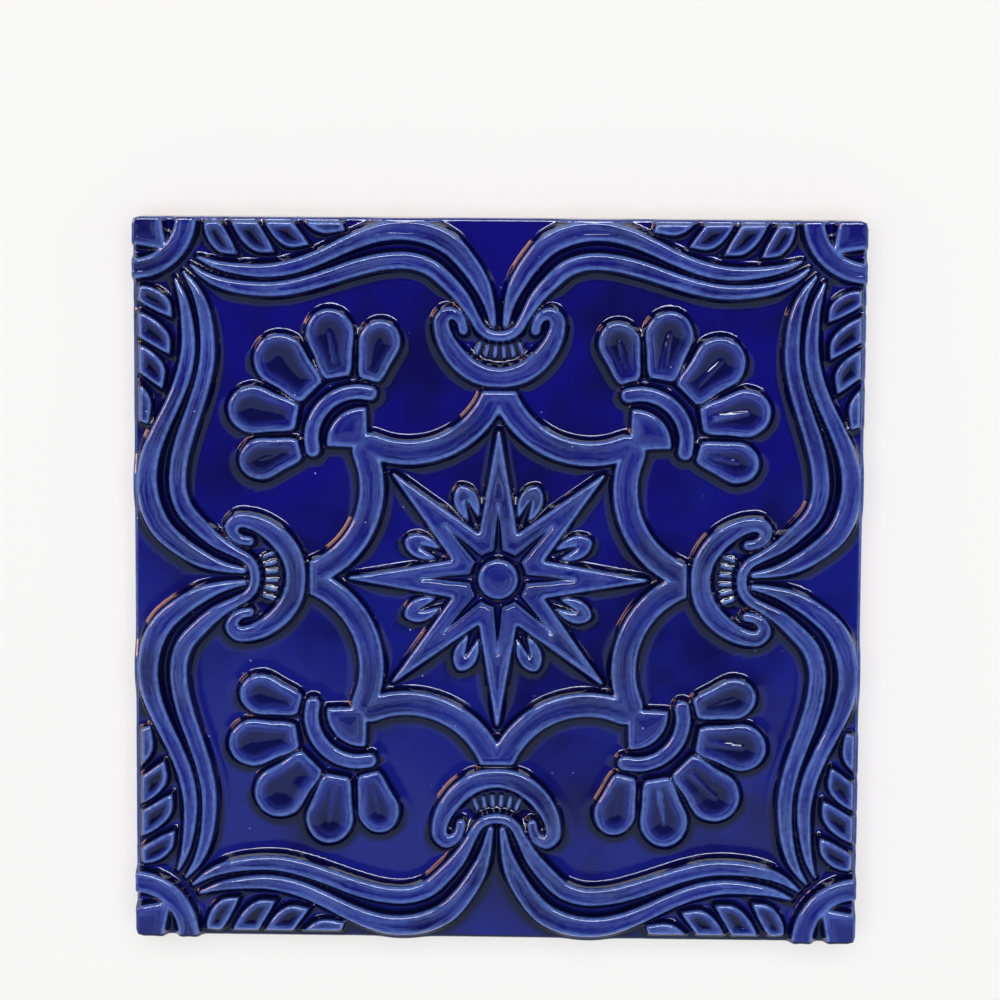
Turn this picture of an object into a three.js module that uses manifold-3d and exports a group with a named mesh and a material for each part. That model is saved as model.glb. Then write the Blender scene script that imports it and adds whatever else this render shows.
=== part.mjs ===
// A square relief wall tile in blue glazed earthenware, pressed and fired as one piece.
// It lies flat with its face up: millimetres, +Z up, the origin at the centre of the flat back.
// The ornament repeats round the tile. Each motif is drawn once, between the middle of the top edge
// and the top right corner, and is copied by quarter turns and by mirroring across the diagonal.

import * as THREE from "three";
import { mergeVertices } from "three/addons/utils/BufferGeometryUtils.js";
import Module from "manifold-3d";

// The body
const TILE_SIDE = 140;
const BODY_THICKNESS = 7.6; // from the back to the flat ground between the motifs
const CORNER_RADIUS = 2;
const CORNER_STEPS = 4;
const FACE_ARRIS = 0.7; // the slope round the edge of the ground
const BACK_ARRIS = 0.5;
const ROOT_DEPTH = 1.2; // how far each motif's solid reaches into the body
const RIM_DRAFT = 0.7; // how far the relief leans in where the tile's edge cuts it off
const DRAFT_BEND = [0.6, 0.4]; // where the lean gets stronger: share of a band's height, and of the draft

// Heights of the crests over the ground
const BAND_HEIGHT = 3.2;
const CRESCENT_HEIGHT = 3.1;
const FRAME_HEIGHT = 2.8;
const COLLAR_HEIGHT = 2.7;
const KNOB_HEIGHT = 3.1;
const PETAL_HEIGHT = 2.7;
const RING_HEIGHT = 3.2;
const LOZENGE_HEIGHT = 2.9;
const LAUREL_HEIGHT = 2.4;
const STAR_HEIGHT = 2.7;
const BUTTON_HEIGHT = 3.2;
const BUD_HEIGHT = 2;
const TICK_HEIGHT = 0.9;

// The star in the middle
const STAR_RAYS = 8;
const RAY_LENGTH = 28.8;
const RAY_VALLEY = 9.8; // from the centre to the corner between two rays
const RAY_GROOVE_START = 4.5; // from the centre to the groove's wide end
const RAY_GROOVE_END = 18.5; // from the centre to its point
const RAY_GROOVE_HALF = 2; // at its wide end
const BUTTON_RADIUS = 4;
const HOLLOW_RADIUS = 5.5; // the sunk ring round the button
const HOLLOW_FLOOR = 0.2; // the sunk ring's level over the ground
const BUD_START = 11.6; // from the centre to a bud's near end
const BUD_LENGTH = 8;
const BUD_HALF = 2.5;
const BUD_TURN = 22.5; // degrees from the middle line of the nearer upright or level ray

// The curved frame round the star
const FRAME_ARC_RADIUS = 17.8;
const FRAME_ARC_X = 17.5;
const FRAME_ARC_Y = 42.1;
const FRAME_HALF = 2.5;
const FRAME_ARC_SPAN = [193, 293]; // degrees
const FRAME_APEX = 36.4; // where the frame's points are cut off, under the crescents

// The flowers
const FLOWER_PLACE = 26.9; // the flower's centre, across and up from the tile's centre
const COLLAR_RADIUS = 9;
const COLLAR_HALF = 1.55;
const COLLAR_TURN = 59; // degrees to each side of the diagonal
const KNOB_PLACE = 26;
const KNOB_RADIUS = 7.1;
const KNOB_SPAN = [-6, 96]; // degrees of the fan's round side
const KNOB_PEAK = 0.4; // from the fan's centre to its highest point, as a share of its radius

// The corners
const RING_RADIUS = 10.4;
const RING_HALF = 2.15;
const RING_SPAN = [168, 282]; // degrees, a little past the tile's edges
const LOZENGE_REACH = 6.6; // from the tile's edges to the lozenge's point
const LOZENGE_FOOT = 5.2; // along the tile's edge, from its corner
const LOZENGE_PEAK = 2.2; // from the tile's edges to its highest point

// The ticks in the crescents radiate from a point above them
const TICKS = 6;
const TICK_CENTRE = 55;
const TICK_RADIUS = 11.1;
const TICK_HALF_LENGTH = 1.25;
const TICK_HALF_WIDTH = 0.36;
const TICK_SPREAD = 7.6; // degrees between neighbours

// How finely the curves are cut into flats
const BAND_STEPS = 13;
const INNER_BAND_STEPS = 14;
const CRESCENT_STEPS = 24;
const FRAME_STEPS = 8;
const SHORT_ARC_STEPS = 6;
const PETAL_SIDES = 12;
const LEAF_SIDES = 6;
const BUTTON_SIDES = 18;
const HOLLOW_SIDES = 24;
const GROOVE_SIDES = 4;
const KNOB_STEPS = 6;

const HALF_SIDE = TILE_SIDE / 2;
const QUARTER_TURNS = 4;
const END_PEAK = 0.3; // the middle of a moulding's cut end, as a share of its height
const BLUE_GLAZE = 0x1c2f96;

const fromCentre = (x, y) => new THREE.Vector2(x, y);
const fromEdge = (x, inset) => new THREE.Vector2(x, HALF_SIDE - inset);
const fromCorner = (insetX, insetY) => new THREE.Vector2(HALF_SIDE - insetX, HALF_SIDE - insetY);
const polar = (radius, degrees, centre = fromCentre(0, 0)) =>
  fromCentre(radius, 0).rotateAround(fromCentre(0, 0), THREE.MathUtils.degToRad(degrees)).add(centre);

// The outer band runs from the corner ring to the hook at the middle of the edge. Each stop is a point
// of the middle line, half the band's width there, and its share of the full height.
const OUTER_BAND = [
  [fromCorner(12.4, 8.1), 0.4, 0.35],
  [fromCorner(16, 9.5), 0.9, 0.75],
  [fromCorner(21, 10.4), 1.3, 0.95],
  [fromCorner(26, 10.6), 1.5, 1],
  [fromCorner(31, 9.7), 1.6, 1],
  [fromCorner(36, 7.8), 1.6, 1],
  [fromEdge(29, 5.4), 1.7, 1],
  [fromEdge(24, 3.4), 1.9, 1],
  [fromEdge(19, 2.5), 2.1, 1],
  [fromEdge(14, 3.1), 2.2, 1],
  [fromEdge(9.4, 5.2), 2.2, 1],
  [fromEdge(6.1, 8.7), 2, 1],
  [fromCentre(4, 57.2), 1.7, 0.95],
  [fromCentre(2.8, 53.3), 1.2, 0.85],
  [fromCentre(2, 49.8), 0.7, 0.6],
];

// The inner band lies beside it and meets its mirror image in a hook under the middle of the edge.
const INNER_BAND = [
  [fromCorner(11.1, 9.7), 0.4, 0.35],
  [fromCorner(14, 11.8), 0.9, 0.75],
  [fromCorner(18, 13.4), 1.3, 0.95],
  [fromCorner(23, 14.2), 1.5, 1],
  [fromCorner(28, 14.2), 1.6, 1],
  [fromCorner(33, 13.2), 1.65, 1],
  [fromCorner(38, 11.6), 1.7, 1],
  [fromEdge(27, 9.9), 1.8, 1],
  [fromEdge(22, 8.7), 1.8, 1],
  [fromEdge(17, 8.5), 1.8, 1],
  [fromEdge(13, 9.8), 1.8, 1],
  [fromEdge(9.8, 12.6), 1.7, 1],
  [fromCentre(7.4, 54.2), 1.5, 1],
  [fromCentre(5.6, 50.8), 1.3, 1],
  [fromCentre(3.6, 48.4), 1.2, 1],
  [fromCentre(1.8, 47.5), 1.2, 1],
  [fromCentre(-0.3, 47.3), 1.2, 1],
];

// Half a crescent, from its middle to the end of its scroll.
const HALF_CRESCENT = [
  [fromCentre(0, 39.2), 2.3, 1],
  [fromCentre(3.9, 39.9), 2.35, 1],
  [fromCentre(7.3, 42.1), 2.3, 1],
  [fromCentre(9.9, 45.3), 2.1, 1],
  [fromCentre(11, 48.3), 1.9, 1],
  [fromCentre(10.7, 50.2), 1.6, 1],
  [fromCentre(9.3, 51.2), 1.35, 1],
  [fromCentre(7.8, 50.6), 1.15, 0.95],
  [fromCentre(7, 49.2), 1, 0.9],
  [fromCentre(7.2, 47.7), 0.8, 0.8],
];

// Each petal: the middle of its foot, its tip, half its width, and half its width at the foot.
const SIDE_PETALS = [
  [fromCentre(24.9, 38), fromCentre(21.7, 49.8), 4.1, 1.8],
  [fromCentre(30.9, 38.5), fromCentre(33.2, 52), 4.7, 2.2],
];
const MIDDLE_PETAL = [fromCentre(35.7, 35.7), fromCentre(45.6, 45.6), 5.1, 2.7];

// How a petal widens from its foot: the share of its length, and the share of its half-width there.
const PETAL_BOW = [[0.36, 0.82], [0.68, 1], [0.92, 0.62]];

// Each laurel leaf beside the corner: its root at the tile's edge, its tip, and half its width.
const LAUREL_LEAVES = [
  [fromCorner(13.4, 1.2), fromCorner(20, 7.6), 2.1],
  [fromCorner(17.2, 0.2), fromCorner(26.5, 7.2), 2.2],
  [fromCorner(22.6, -0.6), fromCorner(33.4, 5.4), 2.2],
  [fromCorner(30.5, -1.2), fromCorner(41.5, 1.4), 1.9],
];

// Sections of the mouldings, from one foot over the top to the other: share of the half-width, and share
// of the height. The broad mouldings are hollowed along their tops, and the ticks are plain ridges.
const HOLLOWED_SECTION = [[1, 0], [0.56, 1], [0, 0.8], [-0.56, 1], [-1, 0]];
const RIDGE_SECTION = [[1, 0], [0, 1], [-1, 0]];

// Rings of the bosses, from the foot to the middle: share of the outline, and share of the height.
const DISHED_RINGS = [[1, 0], [0.8, 1], [0.5, 0.32], [0, 0.26]];
const LEAF_RINGS = [[1, 0], [0.62, 1], [0, 0.5]];
const DOME_RINGS = [[1, 0], [0.9, 0.62], [0.6, 0.92], [0, 1]];
const PLATEAU_RINGS = [[1, 0], [0.88, 0.94], [0.8, 1], [0, 1]];

const wasm = await Module();
wasm.setup();

function solidOf(geometry) {
  const bare = new THREE.BufferGeometry().setAttribute("position", geometry.getAttribute("position"));
  bare.setIndex(geometry.index);
  const merged = mergeVertices(bare, 1e-4);
  return new wasm.Manifold(
    new wasm.Mesh({
      numProp: 3,
      vertProperties: new Float32Array(merged.attributes.position.array),
      triVerts: new Uint32Array(merged.index.array),
    }),
  );
}

const joined = (solids) => solids.reduce((sum, solid) => sum.add(solid));

// Stops of even width along an arc, from one angle to another in degrees.
function arcStops(centre, radius, from, to, half) {
  const stops = [];
  for (let i = 0; i <= SHORT_ARC_STEPS; i++) {
    const degrees = THREE.MathUtils.lerp(from, to, i / SHORT_ARC_STEPS);
    stops.push([polar(radius, degrees, centre), half, 1]);
  }
  return stops;
}

// The symmetric copies of a point in the drawn wedge: a quarter turn, and across the diagonal if mirrored.
function placed(point, turn, mirrored) {
  const start = mirrored ? new THREE.Vector2(point.y, point.x) : point.clone();
  return start.rotateAround(fromCentre(0, 0), (turn * Math.PI) / 2);
}

// A raised line: a section is carried along a smooth line through the stops, a closed cylinder's rings
// being moved to the stops one by one.
function moulding(stops, height, section, steps) {
  const line = new THREE.CatmullRomCurve3(
    stops.map(([at]) => new THREE.Vector3(at.x, at.y, 0)),
    false,
    "centripetal",
  );
  const sizes = new THREE.CatmullRomCurve3(
    stops.map(([, half, share]) => new THREE.Vector3(half, share, 0)),
  );
  const outline = [
    ...section.map(([across, up]) => ({ across, up, root: 0 })),
    { across: -1, up: 0, root: -ROOT_DEPTH },
    { across: 1, up: 0, root: -ROOT_DEPTH },
  ];
  const sides = outline.length;
  const geometry = new THREE.CylinderGeometry(1, 1, 1, sides, steps);
  const position = geometry.attributes.position;
  for (let i = 0; i < position.count; i++) {
    const share = position.getY(i) + 0.5;
    const at = line.getPoint(share);
    const along = line.getTangent(share);
    const size = sizes.getPoint(share);
    const radius = Math.hypot(position.getX(i), position.getZ(i));
    const angle = Math.atan2(position.getX(i), position.getZ(i));
    const corner = outline[Math.round((angle / (2 * Math.PI)) * sides + sides) % sides];
    const across = radius < 0.5 ? 0 : corner.across * size.x;
    const up = radius < 0.5 ? size.y * height * END_PEAK : corner.up * size.y * height + corner.root;
    position.setXYZ(i, at.x - along.y * across, at.y + along.x * across, BODY_THICKNESS + up);
  }
  return solidOf(geometry);
}

// A raised island: the rings of a turned shape are stretched to fit a closed outline.
function boss(outline, middle, height, rings) {
  const points = THREE.ShapeUtils.isClockWise(outline) ? [...outline].reverse() : outline;
  const profile = [new THREE.Vector2(0, -ROOT_DEPTH), new THREE.Vector2(1, -ROOT_DEPTH)];
  profile.push(...rings.map(([share, up]) => new THREE.Vector2(share, up * height)));
  const geometry = new THREE.LatheGeometry(profile, points.length);
  const position = geometry.attributes.position;
  for (let i = 0; i < position.count; i++) {
    const share = Math.hypot(position.getX(i), position.getZ(i));
    const turn = Math.atan2(position.getX(i), position.getZ(i)) / (2 * Math.PI);
    const spoke = Math.round(turn * points.length + points.length) % points.length;
    const at = middle.clone().lerp(points[spoke], share);
    position.setXYZ(i, at.x, at.y, BODY_THICKNESS + position.getY(i));
  }
  return solidOf(geometry);
}

// A petal's outline: narrow at the foot, widest towards the round tip.
function petalOutline(foot, tip, half, footHalf) {
  const axis = tip.clone().sub(foot);
  const side = new THREE.Vector2(-axis.y, axis.x).normalize();
  const at = (along, across) =>
    foot.clone().addScaledVector(axis, along).addScaledVector(side, across);
  const bow = [
    at(0, footHalf),
    ...PETAL_BOW.map(([along, share]) => at(along, half * share)),
    at(1, 0),
    ...PETAL_BOW.toReversed().map(([along, share]) => at(along, -half * share)),
    at(0, -footHalf),
  ];
  const curve = new THREE.CatmullRomCurve3(bow.map((p) => new THREE.Vector3(p.x, p.y, 0)), true);
  return curve.getSpacedPoints(PETAL_SIDES).slice(1).map((p) => new THREE.Vector2(p.x, p.y));
}

// A laurel leaf's or bud's outline: pointed at both ends, and a little wider towards the tip.
function leafOutline(foot, tip, half) {
  const narrow = 0.86;
  const wide = 1.1;
  const axis = tip.clone().sub(foot);
  const side = new THREE.Vector2(-axis.y, axis.x).normalize();
  const points = [];
  for (let i = 0; i < LEAF_SIDES; i++) {
    const turn = (2 * Math.PI * i) / LEAF_SIDES;
    const along = (1 - Math.cos(turn)) / 2;
    const across = Math.sin(turn) * half * THREE.MathUtils.lerp(narrow, wide, along);
    points.push(foot.clone().addScaledVector(axis, along).addScaledVector(side, across));
  }
  return points;
}

const middleOf = (outline) =>
  outline.reduce((sum, p) => sum.add(p), fromCentre(0, 0)).divideScalar(outline.length);

// Builds a motif in each quarter, and its mirror image too where the motif lies off the diagonal.
function repeated(build, mirrors) {
  const solids = [];
  for (let turn = 0; turn < QUARTER_TURNS; turn++) {
    for (const mirrored of mirrors) solids.push(build((point) => placed(point, turn, mirrored)));
  }
  return joined(solids);
}

const BOTH_SIDES = [false, true];
const ON_DIAGONAL = [false];
const movedStops = (stops, place) => stops.map(([at, half, share]) => [place(at), half, share]);

function roundedSquare(half) {
  const straight = half - CORNER_RADIUS;
  const shape = new THREE.Shape();
  shape.moveTo(-straight, -half);
  shape.absarc(straight, -straight, CORNER_RADIUS, -Math.PI / 2, 0);
  shape.absarc(straight, straight, CORNER_RADIUS, 0, Math.PI / 2);
  shape.absarc(-straight, straight, CORNER_RADIUS, Math.PI / 2, Math.PI);
  shape.absarc(-straight, -straight, CORNER_RADIUS, Math.PI, Math.PI * 1.5);
  return shape;
}

// A slab with sloped arrises, lofted from the rounded square at a few levels.
function slab(levels) {
  const outline = roundedSquare(HALF_SIDE).extractPoints(CORNER_STEPS).shape;
  const rim = outline.filter((p, i) => i === 0 || p.distanceTo(outline[i - 1]) > 1e-6);
  if (rim[0].distanceTo(rim[rim.length - 1]) < 1e-6) rim.pop();
  const sides = rim.length;
  const geometry = new THREE.CylinderGeometry(1, 1, 1, sides, levels.length - 1);
  const position = geometry.attributes.position;
  for (let i = 0; i < position.count; i++) {
    const level = levels[Math.round((position.getY(i) + 0.5) * (levels.length - 1))];
    const radius = Math.hypot(position.getX(i), position.getZ(i));
    const turn = Math.atan2(position.getX(i), position.getZ(i)) / (2 * Math.PI);
    const corner = rim[Math.round(turn * sides + sides) % sides];
    const share = radius < 0.5 ? 0 : (HALF_SIDE - level.inset) / HALF_SIDE;
    position.setXYZ(i, corner.x * share, corner.y * share, level.z);
  }
  return solidOf(geometry);
}

const tileBody = () =>
  slab([
    { z: 0, inset: BACK_ARRIS },
    { z: BACK_ARRIS, inset: 0 },
    { z: BODY_THICKNESS - FACE_ARRIS, inset: 0 },
    { z: BODY_THICKNESS, inset: FACE_ARRIS },
  ]);

// What the press mould leaves of the relief at the tile's edges.
const pressLimit = () =>
  slab([
    { z: BODY_THICKNESS - ROOT_DEPTH, inset: 0 },
    { z: BODY_THICKNESS, inset: 0 },
    { z: BODY_THICKNESS + BAND_HEIGHT * DRAFT_BEND[0], inset: RIM_DRAFT * DRAFT_BEND[1] },
    { z: BODY_THICKNESS + BAND_HEIGHT + RIM_DRAFT, inset: RIM_DRAFT * 2 },
  ]);

function edgeBands() {
  const outer = repeated(
    (place) => moulding(movedStops(OUTER_BAND, place), BAND_HEIGHT, HOLLOWED_SECTION, BAND_STEPS),
    BOTH_SIDES,
  );
  const inner = repeated(
    (place) => moulding(movedStops(INNER_BAND, place), BAND_HEIGHT, HOLLOWED_SECTION, INNER_BAND_STEPS),
    BOTH_SIDES,
  );
  return outer.add(inner);
}

function crescents() {
  const left = HALF_CRESCENT.slice(1).reverse();
  const stops = [...left.map(([at, ...sizes]) => [fromCentre(-at.x, at.y), ...sizes]), ...HALF_CRESCENT];
  return repeated(
    (place) => moulding(movedStops(stops, place), CRESCENT_HEIGHT, HOLLOWED_SECTION, CRESCENT_STEPS),
    ON_DIAGONAL,
  );
}

function ticks() {
  const solids = [];
  for (let i = 0; i < TICKS; i++) {
    const degrees = -90 + (i - (TICKS - 1) / 2) * TICK_SPREAD;
    const centre = fromCentre(0, TICK_CENTRE);
    const stops = [-TICK_HALF_LENGTH, 0, TICK_HALF_LENGTH].map((offset) => [
      polar(TICK_RADIUS + offset, degrees, centre),
      TICK_HALF_WIDTH,
      1,
    ]);
    solids.push(
      repeated((place) => moulding(movedStops(stops, place), TICK_HEIGHT, RIDGE_SECTION, 1), ON_DIAGONAL),
    );
  }
  return joined(solids);
}

function curvedFrame() {
  const centre = fromCentre(FRAME_ARC_X, FRAME_ARC_Y);
  const stops = arcStops(centre, FRAME_ARC_RADIUS, ...FRAME_ARC_SPAN, FRAME_HALF);
  const arcs = repeated(
    (place) => moulding(movedStops(stops, place), FRAME_HEIGHT, HOLLOWED_SECTION, FRAME_STEPS),
    BOTH_SIDES,
  );
  const beyond = 10; // long enough to take off every end that passes the apex
  const cutters = repeated((place) => {
    const at = place(fromCentre(0, FRAME_APEX + beyond / 2));
    const box = new THREE.BoxGeometry(beyond, beyond, beyond);
    return solidOf(box.translate(at.x, at.y, BODY_THICKNESS));
  }, ON_DIAGONAL);
  return arcs.subtract(cutters);
}

function flowers() {
  const centre = fromCentre(FLOWER_PLACE, FLOWER_PLACE);
  const collar = arcStops(centre, COLLAR_RADIUS, 45 - COLLAR_TURN, 45 + COLLAR_TURN, COLLAR_HALF);
  const knob = [fromCentre(KNOB_PLACE - 1, KNOB_PLACE - 1)];
  for (let i = 0; i <= KNOB_STEPS; i++) {
    const degrees = THREE.MathUtils.lerp(...KNOB_SPAN, i / KNOB_STEPS);
    knob.push(polar(KNOB_RADIUS, degrees, fromCentre(KNOB_PLACE, KNOB_PLACE)));
  }
  const petal = ([foot, tip, half, footHalf], place) => {
    const outline = petalOutline(place(foot), place(tip), half, footHalf);
    return boss(outline, middleOf(outline), PETAL_HEIGHT, DISHED_RINGS);
  };
  const peak = KNOB_PLACE + KNOB_RADIUS * KNOB_PEAK;
  return joined([
    repeated(
      (place) => moulding(movedStops(collar, place), COLLAR_HEIGHT, HOLLOWED_SECTION, SHORT_ARC_STEPS),
      ON_DIAGONAL,
    ),
    repeated(
      (place) => boss(knob.map(place), place(fromCentre(peak, peak)), KNOB_HEIGHT, DOME_RINGS),
      ON_DIAGONAL,
    ),
    repeated((place) => petal(MIDDLE_PETAL, place), ON_DIAGONAL),
    ...SIDE_PETALS.map((sizes) => repeated((place) => petal(sizes, place), BOTH_SIDES)),
  ]);
}

function cornerOrnaments() {
  const ring = arcStops(fromCorner(0, 0), RING_RADIUS, ...RING_SPAN, RING_HALF);
  const past = -1; // the lozenge runs past the tile's edge and is cut off there
  const lozenge = [
    fromCorner(past, past),
    fromCorner(past, LOZENGE_FOOT),
    fromCorner(LOZENGE_REACH, LOZENGE_REACH),
    fromCorner(LOZENGE_FOOT, past),
  ];
  const peak = fromCorner(LOZENGE_PEAK, LOZENGE_PEAK);
  const leaf = ([foot, tip, half], place) => {
    const outline = leafOutline(place(foot), place(tip), half);
    return boss(outline, middleOf(outline), LAUREL_HEIGHT, LEAF_RINGS);
  };
  return joined([
    repeated(
      (place) => moulding(movedStops(ring, place), RING_HEIGHT, HOLLOWED_SECTION, SHORT_ARC_STEPS),
      ON_DIAGONAL,
    ),
    repeated(
      (place) => boss(lozenge.map(place), place(peak), LOZENGE_HEIGHT, DOME_RINGS),
      ON_DIAGONAL,
    ),
    ...LAUREL_LEAVES.map((sizes) => repeated((place) => leaf(sizes, place), BOTH_SIDES)),
  ]);
}

function star() {
  const outline = [];
  for (let i = 0; i < STAR_RAYS; i++) {
    const degrees = (360 / STAR_RAYS) * i;
    outline.push(polar(RAY_LENGTH, degrees), polar(RAY_VALLEY, degrees + 180 / STAR_RAYS));
  }
  const rays = boss(outline, fromCentre(0, 0), STAR_HEIGHT, PLATEAU_RINGS);
  const hollow = new THREE.CylinderGeometry(HOLLOW_RADIUS, HOLLOW_RADIUS, STAR_HEIGHT * 2, HOLLOW_SIDES)
    .rotateX(Math.PI / 2)
    .translate(0, 0, BODY_THICKNESS + STAR_HEIGHT + HOLLOW_FLOOR);
  const grooves = [];
  for (let i = 0; i < STAR_RAYS; i++) {
    const groove = new THREE.ConeGeometry(RAY_GROOVE_HALF, RAY_GROOVE_END - RAY_GROOVE_START, GROOVE_SIDES)
      .rotateX(Math.PI / 2)
      .rotateY(Math.PI / 2)
      .translate((RAY_GROOVE_END + RAY_GROOVE_START) / 2, 0, BODY_THICKNESS + STAR_HEIGHT)
      .rotateZ((2 * Math.PI * i) / STAR_RAYS);
    grooves.push(solidOf(groove));
  }
  const disc = [];
  for (let i = 0; i < BUTTON_SIDES; i++) disc.push(polar(BUTTON_RADIUS, (360 / BUTTON_SIDES) * i));
  const button = boss(disc, fromCentre(0, 0), BUTTON_HEIGHT, DOME_RINGS);
  return rays.subtract(solidOf(hollow)).subtract(joined(grooves)).add(button);
}

function buds() {
  const foot = polar(BUD_START, 90 - BUD_TURN);
  const tip = polar(BUD_START + BUD_LENGTH, 90 - BUD_TURN);
  return repeated((place) => {
    const outline = leafOutline(place(foot), place(tip), BUD_HALF);
    return boss(outline, middleOf(outline), BUD_HEIGHT, LEAF_RINGS);
  }, BOTH_SIDES);
}

function geometryOf(solid) {
  const mesh = solid.getMesh();
  const points = new Float32Array(mesh.numVert * 3);
  for (let i = 0; i < mesh.numVert; i++) {
    points.set(mesh.vertProperties.subarray(i * mesh.numProp, i * mesh.numProp + 3), i * 3);
  }
  const geometry = new THREE.BufferGeometry();
  geometry.setAttribute("position", new THREE.BufferAttribute(points, 3));
  geometry.setIndex(new THREE.BufferAttribute(new Uint32Array(mesh.triVerts), 1));
  geometry.computeVertexNormals();
  return geometry;
}

const relief = joined([
  edgeBands(),
  crescents(),
  ticks(),
  curvedFrame(),
  flowers(),
  cornerOrnaments(),
  star(),
  buds(),
]);
const tile = new THREE.Mesh(
  geometryOf(tileBody().add(relief.intersect(pressLimit()))),
  new THREE.MeshStandardMaterial({ color: BLUE_GLAZE, roughness: 0.08, metalness: 0 }),
);
tile.name = "relief_tile";

const object = new THREE.Group();
object.add(tile);
export default object;
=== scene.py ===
"""The looks of a square relief wall tile: one fired piece under a deep blue glaze, lying face up."""

import logging  # noqa: E402
import math  # noqa: E402
from dataclasses import dataclass, field  # noqa: E402
from enum import Enum  # noqa: E402
from typing import Callable, Iterable, Sequence  # noqa: E402

import bmesh  # noqa: E402
import bpy  # noqa: E402
import numpy as np  # noqa: E402
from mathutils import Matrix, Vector  # noqa: E402


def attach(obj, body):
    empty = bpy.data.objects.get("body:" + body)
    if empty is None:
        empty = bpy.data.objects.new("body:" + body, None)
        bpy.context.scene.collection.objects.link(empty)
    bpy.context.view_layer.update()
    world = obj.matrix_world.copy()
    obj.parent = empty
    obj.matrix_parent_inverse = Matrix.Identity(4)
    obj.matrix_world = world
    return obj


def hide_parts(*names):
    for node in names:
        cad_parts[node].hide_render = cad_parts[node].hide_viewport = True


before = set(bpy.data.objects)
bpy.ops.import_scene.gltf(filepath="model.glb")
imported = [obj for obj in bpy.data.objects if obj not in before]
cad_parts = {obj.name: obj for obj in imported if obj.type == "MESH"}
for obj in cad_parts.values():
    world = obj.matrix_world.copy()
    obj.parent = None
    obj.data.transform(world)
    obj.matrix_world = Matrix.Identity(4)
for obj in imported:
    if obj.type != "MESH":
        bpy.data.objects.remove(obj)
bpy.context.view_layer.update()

LOG = logging.getLogger("relief_tile")

Point = tuple[float, float]
Colour = tuple[float, float, float]

# The relief is drawn in millimetres and the meshes are in metres.
MM = 0.001
HALF_SIDE = 70.0
GROUND_LEVEL = 7.6  # from the flat back to the ground between the motifs
QUARTER_TURNS = 4
FAR = 1e3  # farther than anything that is measured
SPARE = 0.2  # how far a motif's window reaches past its cove


def from_edge(x: float, inset: float) -> Point:
    """A point of the drawn wedge by its distance from the top edge."""
    return (x, HALF_SIDE - inset)


def from_corner(inset_x: float, inset_y: float) -> Point:
    """A point of the drawn wedge by its distances from the right and the top edge."""
    return (HALF_SIDE - inset_x, HALF_SIDE - inset_y)


def polar(radius: float, degrees: float, centre: Point = (0.0, 0.0)) -> Point:
    """A point at a distance and a bearing from a centre."""
    turn = math.radians(degrees)
    return (centre[0] + radius * math.cos(turn), centre[1] + radius * math.sin(turn))


def smooth(values: np.ndarray) -> np.ndarray:
    """A soft step from 0 to 1, level at both ends."""
    t = np.clip(values, 0.0, 1.0)
    return t * t * (3.0 - 2.0 * t)


class Copies(Enum):
    """How a motif of the drawn wedge is repeated round the tile."""

    ON_DIAGONAL = (False,)
    BOTH_SIDES = (False, True)

    def places(self) -> Iterable[Callable[[Point], Point]]:
        """The copies of the wedge: quarter turns, and mirror images across the diagonal.

        Returns:
            One function for each copy, which moves a point of the wedge to its place in it.
        """
        for turn in range(QUARTER_TURNS):
            cosine, sine = ((1, 0), (0, 1), (-1, 0), (0, -1))[turn]
            for mirrored in self.value:

                def place(point: Point, c: int = cosine, s: int = sine, m: bool = mirrored) -> Point:
                    """Moves a point of the drawn wedge into one copy."""
                    x, y = (point[1], point[0]) if m else point
                    return (c * x - s * y, s * x + c * y)

                yield place


def climbed(angle_at: Sequence[float], angles: Sequence[float]) -> tuple[np.ndarray, np.ndarray]:
    """The share of a climb that is reached at each place along it.

    Args:
        angle_at: places along the climb.
        angles: the surface's slope there, in degrees.

    Returns:
        Closely spaced places and the shares there, from 0 to 1.
    """
    places = np.linspace(angle_at[0], angle_at[-1], 500)
    rise = np.cumsum(np.tan(np.radians(np.interp(places, angle_at, angles))))
    return places, rise / rise[-1]


@dataclass(frozen=True)
class Profile:
    """The section of a raised motif, from its outline inwards, as shares of its height.

    The surface leaves the ground in a shallow cove outside the outline, climbs steeply across it,
    rounds over to a crest and may dip again towards the middle.
    """

    cove: float = 2.2  # how far the cove runs out over the ground
    reach: float = 1.0  # from the outline to the crest
    dip: float = 0.1
    dip_width: float = 1.0
    crown: float = 0.0  # how much of the height is a slow rise to the middle
    pooling: float = 0.0  # how much the glaze pools inside the crest
    pool_inset: float = 0.5  # from the crest to where the pool begins
    pool_width: float = 1.3  # from there to its full depth

    ANGLE_AT = (-2.2, -0.8, -0.3, 0.1, 0.4, 1.0)
    CLIMB = climbed(ANGLE_AT, (0.0, 12.0, 70.0, 70.0, 42.0, 0.0))
    NARROWEST = 0.2  # a motif's least half-width

    def share(self, inside: np.ndarray, half: np.ndarray | float) -> np.ndarray:
        """The share of the height at each depth inside the outline.

        Args:
            inside: distance inside the outline, negative outside it.
            half: half of the motif's width there.

        Returns:
            Shares from 0 to 1.
        """
        half = np.maximum(half, self.NARROWEST)
        narrow = np.maximum(1.0, self.reach / half)
        within = inside * narrow * (self.ANGLE_AT[-1] / self.reach)
        measured = np.where(inside < 0.0, inside * (-self.ANGLE_AT[0] / self.cove), within)
        climb = np.interp(measured, *self.CLIMB)
        fallen = self.dip * smooth((inside - self.reach) / self.dip_width)
        risen = self.crown * (smooth(inside / half) - 1.0)
        return np.where(inside > 0.0, climb - fallen + risen * climb, climb * (1.0 - self.crown))

    def pooled(self, inside: np.ndarray) -> np.ndarray:
        """How much the glaze pools at each depth inside the outline, from 0 to 1."""
        return self.pooling * smooth((inside - self.reach - self.pool_inset) / self.pool_width)


@dataclass(frozen=True)
class Stop:
    """A point of a moulding's middle line, half its width there, and its share of the height."""

    at: Point
    half: float
    share: float = 1.0


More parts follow.
